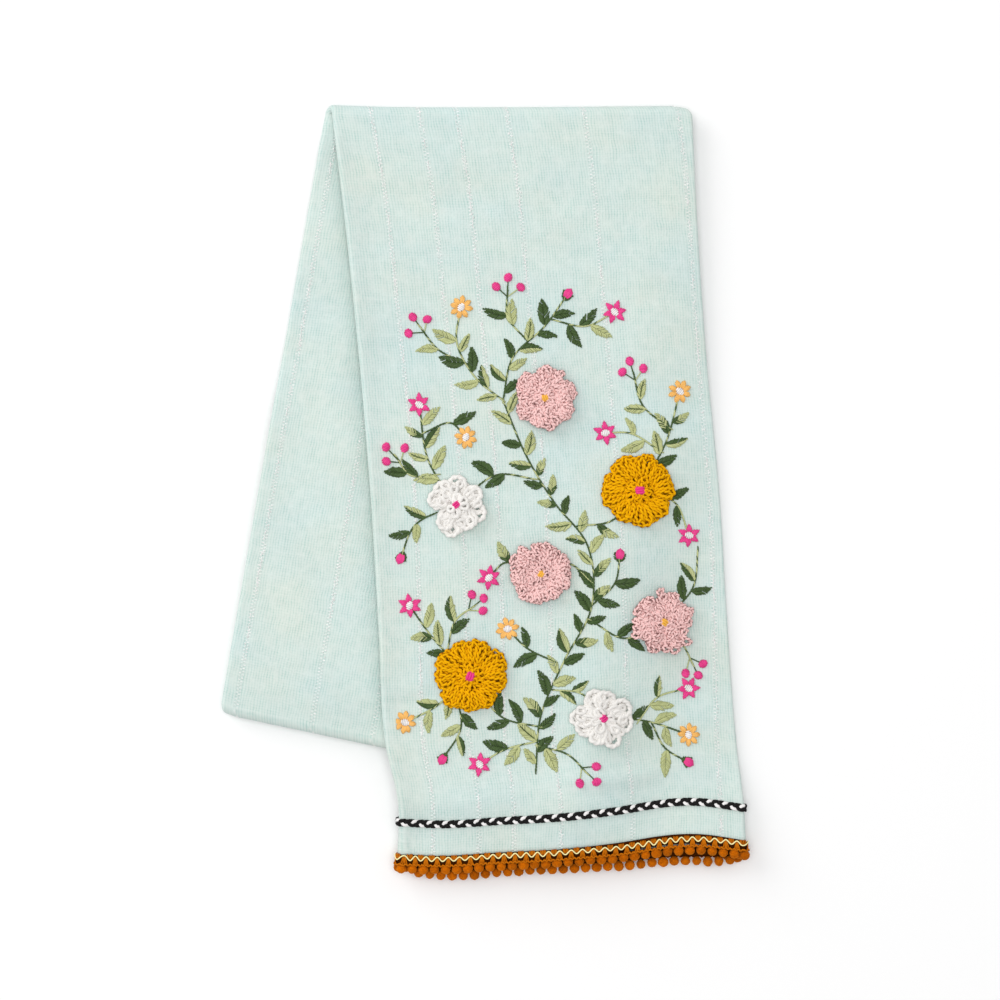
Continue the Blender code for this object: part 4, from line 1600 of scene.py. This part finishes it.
def make_pink_flower(name, centre, seed):
    # The ply settings paint shade down the yarns' sides and into the grooves between their plies, and light
    # on their tops
    flower = Crochet(centre, seed, twist=3.4 * MM, bulge=0.3, edge=2.5, painted_groove_shade=0.9)
    # The coil is painted dark, as painted shade in the gaps between the petals
    flower.coil(last=PINK_RADIUS - 3.0, height=0.9, radius=1.0, tone=-0.4)
    for petal in range(PINK_PETALS):
        pink_petal(flower, petal)
    for ring in PINK_ROUNDS:
        count = ring.stitches
        angle = flower.all_round(count, 0.2)
        flower.loops(
            reach=ring.start,
            angle=angle,
            long=flower.near(ring.long, 0.3, count),
            wide=flower.near(ring.wide, 0.2, count),
            way=flower.near(angle, 0.8, count),
            height=flower.near(ring.height, 0.25, count),
            tone=flower.chance.uniform(0.4, 0.7, count),
            radius=0.55,
            rise=0.5,
        )
    crochet = flower.yarns.finish("crochet_" + name, DUSTY_PINK_WOOL)
    flower.knot(size=1.5, height=4.0, radius=0.45)
    return crochet, flower.yarns.finish("knot_" + name, YELLOW_WOOL)


DUSTY_PINK_WOOL = yarn_material(
    "dusty pink wool", DUSTY_PINK, 0.9, slant=0.8, contrast=0.9, depth=0.08 * MM, specular=0.05
)
YELLOW_WOOL = yarn_material("yellow wool", YELLOW, 0.7, sheen=0.2, slant=0.8, contrast=0.4)
for number, (name, centre) in enumerate(PINK_FLOWERS.items()):
    flower, yellow_knot = make_pink_flower(name, centre, 60 + number)
    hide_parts("flower_" + name)
    flowers += [flower, yellow_knot]


# --------------------------------------------------------------------------------------------------
# Embroidery. Stranded cotton on the front: stems in stem stitch, and leaves, little flowers, buds and
# berries in satin stitch, whose threads lie side by side and go down through the cloth at both ends.
# --------------------------------------------------------------------------------------------------

STITCH = 0.29  # half a satin thread's thickness, in millimetres, as are all the sizes of the embroidery
STEM_STITCH = 0.31
STEM_STITCH_LENGTH = 2.7
STEM_STITCH_STEP = 1.35
STEM_STITCH_LEAN = 0.2  # how far each end of one lies off the stem's middle
STEM_COLOUR_CHANGE = 0.28  # share of a stem's stitches that are in the other green
STEM_UNDER = 2.5  # how far a stem runs on under a flower
LEAF_PITCH = 0.43  # between threads along a leaf's edge
LEAF_SPACING = 5  # between leaves along a stem
LEAF_DISCS = ((0.3, 0.45), (0.6, 0.5), (0.88, 0.35))  # share of a leaf's length, and room over its width
EDGE_ROOM = 7.0  # along the side folds, which the design keeps clear of
BUTTON_THREAD = 0.42  # half the thickness of the thread in a blossom's middle or a berry
BUD_THREAD = 0.36
STALK_THREAD = 0.26
RIB_THREAD = 0.2
BERRY_RADIUS = 1.85
BERRY_ROOM = 2.2
LEAF_TONES = ["green", "green", "olive", "halved", "green", "olive", "tipped", "veined"]
THREADS = {
    "green": (0.064, 0.118, 0.029, 1),
    "olive": (0.56, 0.60, 0.29, 1),
    "pink": HOT_PINK,
    "peach": (0.97, 0.54, 0.15, 1),
    "white": (0.93, 0.90, 0.89, 1),
}
CROCHET_DISCS = [
    *[(*centre, MUSTARD_RADIUS) for centre in MUSTARD_FLOWERS.values()],
    *[(*centre, WHITE_RADIUS) for centre in WHITE_FLOWERS.values()],
    *[(*centre, PINK_RADIUS) for centre in PINK_FLOWERS.values()],
]
CROCHET_ROOM = 0.82  # share of a crochet flower's radius that the embroidery keeps clear of


class Blossom(NamedTuple):
    """A little flower: its petals' thread, their number and size, and the size of its white middle."""

    colour: str
    petals: int
    reach: float
    width: float
    threads: int
    thread: float
    point: float
    middle: float


BLOSSOMS = {
    "star": Blossom("pink", 6, 5.3, 2.9, 5, 0.36, 0.34, 1.75),
    "daisy": Blossom("peach", 8, 5.2, 2.3, 4, 0.35, 0.16, 1.70),
}
END_ROOM = {"star": 5.0, "daisy": 5.0, "bud": 3.2, "berries": 2.0}


class Branch(NamedTuple):
    """A stem through some places, its threads, and what it ends in."""

    places: list
    thread: str
    end: str


MAIN_STEM = [(22, -119), (24, -96), (34, -72), (46, -48), (44, -22), (30, -4), (18, 16), (8, 40)]
BRANCHES = [
    Branch(MAIN_STEM, "green", "none"),
    Branch([(8, 40), (12, 58), (26, 72), (36, 86)], "green", "bud"),
    Branch([(8, 40), (-4, 50), (-12, 66), (-10, 80)], "olive", "daisy"),
    Branch([(-8, 56), (-20, 62), (-28, 72)], "green", "berries"),
    Branch([(18, 66), (10, 76), (10, 88)], "green", "berries"),
    Branch([(28, 75), (44, 72), (56, 78)], "olive", "star"),
    Branch([(24, -100), (8, -96), (-6, -78)], "green", "none"),
    Branch([(29, -84), (42, -86), (50, -96)], "olive", "none"),
    Branch([(45, -54), (60, -62), (76, -55)], "green", "none"),
    Branch([(46, -38), (36, -30), (24, -34)], "olive", "none"),
    Branch([(40, -14), (54, -12), (66, 1)], "green", "none"),
    Branch([(22, 6), (6, 8), (-12, -5)], "green", "none"),
    Branch([(10, 34), (18, 44), (26, 41)], "olive", "none"),
    Branch([(-12, -5), (-24, 14), (-28, 38)], "green", "star"),
    Branch([(-20, 8), (-32, 8), (-38, 16)], "olive", "berries"),
    Branch([(-26, 26), (-14, 30), (-8, 24)], "green", "daisy"),
    Branch([(-12, -5), (-30, -14), (-36, -28)], "green", "bud"),
    Branch([(66, 1), (78, 22), (84, 44)], "green", "daisy"),
    Branch([(76, 18), (62, 26), (52, 26)], "olive", "star"),
    Branch([(80, 28), (68, 38), (64, 52)], "green", "berries"),
    Branch([(66, 1), (82, -4), (88, -18)], "olive", "star"),
    Branch([(-6, -78), (-22, -62), (-32, -48)], "green", "star"),
    Branch([(-16, -68), (-12, -54), (-4, -48)], "olive", "berries"),
    Branch([(-6, -78), (-22, -92), (-34, -98)], "olive", "daisy"),
    Branch([(-12, -86), (-10, -100), (-18, -114)], "green", "bud"),
    Branch([(23, -106), (8, -110), (-2, -116)], "olive", "star"),
    Branch([(23, -108), (36, -112), (44, -120)], "green", "berries"),
    Branch([(50, -96), (70, -98), (88, -104)], "green", "daisy"),
    Branch([(66, -98), (74, -88), (88, -84)], "olive", "star"),
    Branch([(72, -99), (78, -110), (88, -116)], "green", "bud"),
    Branch([(76, -55), (90, -40), (92, -24)], "green", "none"),
    Branch([(76, -55), (86, -66), (90, -74)], "olive", "berries"),
    Branch([(24, -34), (8, -30), (2, -36)], "green", "star"),
    Branch([(30, -72), (18, -66), (10, -58)], "green", "daisy"),
    Branch([(46, -48), (56, -38), (58, -26)], "green", "bud"),
]


def curve_through(places, step):
    """Points at even steps on a smooth curve through some places, and the ways along it."""
    places = np.array(places, float)
    gone = lengths(places)
    at = np.linspace(0, gone[-1], max(3, round(gone[-1] / step) + 1))
    points = np.stack([through(gone, column, at) for column in places.T], axis=-1)
    return points, unit(np.gradient(points, axis=0))


def way_at(angle):
    return np.array([math.cos(angle), math.sin(angle)])


def quarter_turn(way):
    """The ways to the left of other ways."""
    return np.stack([-way[..., 1], way[..., 0]], axis=-1)


class Sewing:
    """The threads of each colour, and the places on the cloth that are taken."""

    def __init__(self):
        self.threads = {colour: Yarns() for colour in THREADS}
        self.taken = [(x, y, CROCHET_ROOM * radius) for x, y, radius in CROCHET_DISCS]
        self.chance = np.random.default_rng(9)

    def sew(self, colour, path, height, loose, bulk, sides, edge):
        """Threads along paths over the cloth. The heights and bulk go from end to end of a thread."""
        height = height + self.chance.normal(0, loose, (len(path), 1))
        points, out = on_front(path[..., 0], path[..., 1], height)
        tone = self.chance.uniform(0.3, 0.7, (len(path), 1))
        # edge paints shade down the threads' sides and light on their tops
        self.threads[colour].lay(points, out, bulk, sides, tone, flat=0.8, edge=edge)

    def stitch(self, colour, starts, ends, thickness, lift, sides=4):
        """Threads from starts to ends, bowed out of the cloth."""
        path = mix(starts[:, None], ends[:, None], np.array([0, 0.2, 0.8, 1])[:, None])
        height = np.array([-0.35, 0.9, 0.9, -0.35]) * np.broadcast_to(lift, (len(starts),))[:, None]
        bulk = thickness * MM * np.array([0.85, 1, 1, 0.85])
        self.sew(colour, path, height, 0.02, bulk, sides, 0.5)

    def bent_stitch(self, colour, starts, middles, ends, thickness, lift):
        """Threads that bow sideways as well as out of the cloth."""
        share = np.array([0, 0.16, 0.5, 0.84, 1])[:, None]
        first = mix(starts[:, None], middles[:, None], share)
        last = mix(middles[:, None], ends[:, None], share)
        height = np.array([-0.35, 0.8, 1, 0.8, -0.3]) * lift
        bulk = thickness * MM * np.array([0.7, 1, 1.1, 1, 0.65])
        self.sew(colour, mix(first, last, share), height, 0.03, bulk, 5, 0.6)

    def clear(self, place, radius):
        """Whether a disc on the front lies clear of the side folds and of all that is taken."""
        left, right = (read(FRONT_SIDES, "y", side, place[1]) for side in ("left", "right"))
        if not left + EDGE_ROOM < place[0] < right - EDGE_ROOM:
            return False
        return all(math.hypot(place[0] - x, place[1] - y) > radius + taken for x, y, taken in self.taken)

    def stem(self, branch):
        """Short slanting stitches in two greens, each beginning half way along the one before."""
        points, ways = curve_through(branch.places, STEM_STITCH_STEP)
        shown = [self.clear(point, -STEM_UNDER) for point in points]
        points, ways = points[shown], ways[shown]
        reach = ways * STEM_STITCH_LENGTH / 2
        lean = quarter_turn(ways) * STEM_STITCH_LEAN
        colours = np.array([branch.thread] * len(points))
        changed = self.chance.random(len(points)) < STEM_COLOUR_CHANGE
        colours[changed] = "olive" if branch.thread == "green" else "green"
        for colour in ("green", "olive"):
            mine = colours == colour
            if mine.any():
                starts, ends = points - reach - lean, points + reach + lean
                self.stitch(colour, starts[mine], ends[mine], STEM_STITCH, 0.42)

    def leaf(self, base, way, length, width, tones):
        """Satin threads that slant from the midrib out to both edges."""
        aside = quarter_turn(way)
        bow = self.chance.uniform(-0.09, 0.09) * length
        share = np.arange(0.07, 1.0, LEAF_PITCH / length)

        def at(along, out):
            bent = out + bow * np.sin(math.pi * np.clip(along / length, 0, 1))
            return base + along[:, None] * way + bent[:, None] * aside

        for side in (-1, 1):
            half = width / 2 * np.sin(math.pi * share**0.85) ** 0.75
            half = np.maximum(half, 0.12) + self.chance.normal(0, 0.17, len(share))
            root = np.maximum(share * length - 1.15 * half, 0)
            starts, ends = at(root, -0.1 * side + 0 * half), at(share * length, side * half)
            ripe = share + self.chance.uniform(-0.16, 0.16, len(share))
            green_to = {"green": math.inf, "halved": side * math.inf, "tipped": 0.48}.get(tones, -math.inf)
            for colour, mine in (("green", ripe < green_to), ("olive", ripe >= green_to)):
                if mine.any():
                    self.stitch(colour, starts[mine], ends[mine], STITCH, 0.40)
        if tones == "veined":
            rib = np.arange(0.1, 0.8, 0.12) * length
            self.stitch("green", at(rib, 0 * rib), at(rib + 0.16 * length, 0 * rib), RIB_THREAD, 0.75)

    def grow(self, branch):
        """Leaves by turns on both sides of a stem, wherever there is room."""
        points, ways = curve_through(branch.places, 1.0)
        side = 1 if self.chance.random() < 0.5 else -1
        for number in range(3, len(points) - 2, LEAF_SPACING):
            side = -side
            length = self.chance.uniform(8.0, 11.5)
            width = length * self.chance.uniform(0.36, 0.46)
            tilt = math.atan2(ways[number][1], ways[number][0]) + side * self.chance.uniform(0.6, 1.0)
            way = way_at(tilt)
            base = points[number] + 0.5 * way
            discs = [(*(base + way * length * part), width * size) for part, size in LEAF_DISCS]
            if all(self.clear(disc[:2], disc[2]) for disc in discs):
                self.leaf(base, way, length, width, LEAF_TONES[self.chance.integers(len(LEAF_TONES))])
                self.taken += discs

    def button(self, colour, middle, radius, lift):
        """A round padded spot of parallel threads."""
        way = way_at(self.chance.uniform(0, math.pi))
        across = np.linspace(-0.86, 0.86, max(4, round(1.3 * radius / BUTTON_THREAD)))
        round_off = np.sqrt(1 - across**2)
        off = middle + (across * radius)[:, None] * quarter_turn(way)
        chord = (radius * round_off)[:, None] * way
        self.stitch(colour, off - chord, off + chord, BUTTON_THREAD, lift * (0.6 + 0.4 * round_off), 5)

    def blossom(self, middle, kind):
        """Petals of a few long threads each, from near the middle out, round a white spot."""
        turn = self.chance.uniform(0, 2)
        across = np.linspace(-1, 1, kind.threads)
        for petal in range(kind.petals):
            way = way_at(turn + 2 * math.pi * petal / kind.petals + self.chance.normal(0, 0.05))
            side = (across * kind.width / 2)[:, None] * quarter_turn(way)
            outer = kind.reach * (1 - kind.point * np.abs(across) ** 1.5) * self.chance.uniform(0.93, 1.05)
            starts = middle + 1.3 * way + 0.30 * side
            ends = middle + outer[:, None] * way + 0.62 * side
            middles = mix(starts, ends, 0.6) + 0.36 * side
            self.bent_stitch(kind.colour, starts, middles, ends, kind.thread, 0.62)
        self.button("white", middle, kind.middle, 0.95)

    def bud(self, middle, way):
        """A closed flower between two green leaves of its own."""
        aside = quarter_turn(way)
        across = np.linspace(-1, 1, 7)[:, None]
        starts = middle - 2.4 * way + 0.5 * across * aside
        ends = middle + (2.6 - 0.9 * np.abs(across)) * way + 1.1 * across * aside
        middles = mix(starts, ends, 0.45) + 1.5 * across * aside
        self.bent_stitch("pink", starts, middles, ends, BUD_THREAD, 0.75)
        for side in (-1, 1):
            base, tip = middle - 3.2 * way, middle + 0.1 * way + 2.1 * side * aside
            self.leaf(base, unit(tip - base), 4.6, 1.7, "green")

    def berries(self, middle, way):
        """Three berries on short stalks."""
        root = middle - 3.5 * way
        for turn, reach, colour in ((-0.75, 6.5, "olive"), (0.05, 8.5, "green"), (0.85, 6.5, "green")):
            stalk = way_at(math.atan2(way[1], way[0]) + turn + self.chance.normal(0, 0.1))
            berry = root + stalk * (reach + self.chance.normal(0, 0.4))
            points = mix(root, berry, np.linspace(0.08, 0.78, 4)[:, None])
            self.stitch(colour, points[:-1] - 0.3 * stalk, points[1:] + 0.3 * stalk, STALK_THREAD, 0.38)
            self.button("pink", berry, BERRY_RADIUS, 0.9)
            self.taken.append((*berry, BERRY_ROOM))


def embroider():
    """All the stems first, then what they end in, and then leaves where there is still room."""
    sewing = Sewing()
    for branch in BRANCHES:
        if branch.end in END_ROOM:
            sewing.taken.append((*branch.places[-1], END_ROOM[branch.end]))
    for branch in BRANCHES:
        sewing.stem(branch)
    for branch in BRANCHES:
        end = np.array(branch.places[-1], float)
        way = curve_through(branch.places, 1.0)[1][-1]
        if branch.end in BLOSSOMS:
            sewing.blossom(end, BLOSSOMS[branch.end])
        elif branch.end == "bud":
            sewing.bud(end, way)
        elif branch.end == "berries":
            sewing.berries(end, way)
    for branch in BRANCHES:
        sewing.grow(branch)
    pieces = []
    for colour, shade in THREADS.items():
        cotton = yarn_material(
            colour + " thread", shade, 0.42, sheen=0.1, slant=0.3, contrast=0.25, depth=0.03 * MM
        )
        pieces.append(sewing.threads[colour].finish(colour + "_stitches", cotton))
    return pieces


stitches = embroider()


# --------------------------------------------------------------------------------------------------
# Stage. A pale level floor under soft light from the upper left, seen from straight above.
# --------------------------------------------------------------------------------------------------

FLOOR_SIZE = 6.0
FLOOR_WHITE = (0.93, 0.93, 0.93, 1)
VIEW_WIDTH = 430.5 * MM
VIEW_CENTRE = (6.7 * MM, -2.8 * MM)
VIEW_LEVEL = 7 * MM  # at which the view is that wide
LENS = 100.0  # millimetres
SENSOR = 36.0
STUDIO_STRENGTH = 0.47


def make_floor():
    material, _, shader = new_material("pale floor", 0.9, specular=0.5)
    feed(shader.inputs["Base Color"], FLOOR_WHITE)
    half = FLOOR_SIZE / 2
    mesh = bpy.data.meshes.new("floor")
    corners = [(-half, -half, 0), (half, -half, 0), (half, half, 0), (-half, half, 0)]
    mesh.from_pydata(corners, [], [(0, 1, 2, 3)])
    mesh.materials.append(material)
    new_object("floor", mesh)


def make_light(name, place, size, power):
    """A round soft light that shines on the towel's middle."""
    light = bpy.data.lights.new(name, "AREA")
    light.shape = "DISK"
    light.size = size
    light.energy = power
    lamp = new_object(name, light)
    lamp.location = place
    lamp.rotation_euler = (Vector() - Vector(place)).to_track_quat("-Z", "Y").to_euler()


def make_camera():
    data = bpy.data.cameras.new("camera")
    data.lens = LENS
    data.sensor_width = SENSOR
    camera = new_object("camera", data)
    height = VIEW_WIDTH / 2 / (SENSOR / 2 / LENS)
    camera.location = (*VIEW_CENTRE, height + VIEW_LEVEL)
    bpy.context.scene.camera = camera


def make_studio():
    """Even white light from all round."""
    world = bpy.data.worlds.new("studio")
    world.use_nodes = True
    background = world.node_tree.nodes["Background"]
    feed(background.inputs["Color"], (1.0, 1.0, 1.0, 1))
    feed(background.inputs["Strength"], STUDIO_STRENGTH)
    bpy.context.scene.world = world
    bpy.context.scene.view_settings.view_transform = "Standard"


make_floor()
make_light("left softbox", place=(-1.7, 1.3, 1.15), size=2.0, power=24.6)
make_light("overhead softbox", place=(0, 0, 2.6), size=2.2, power=37)
make_camera()
make_studio()
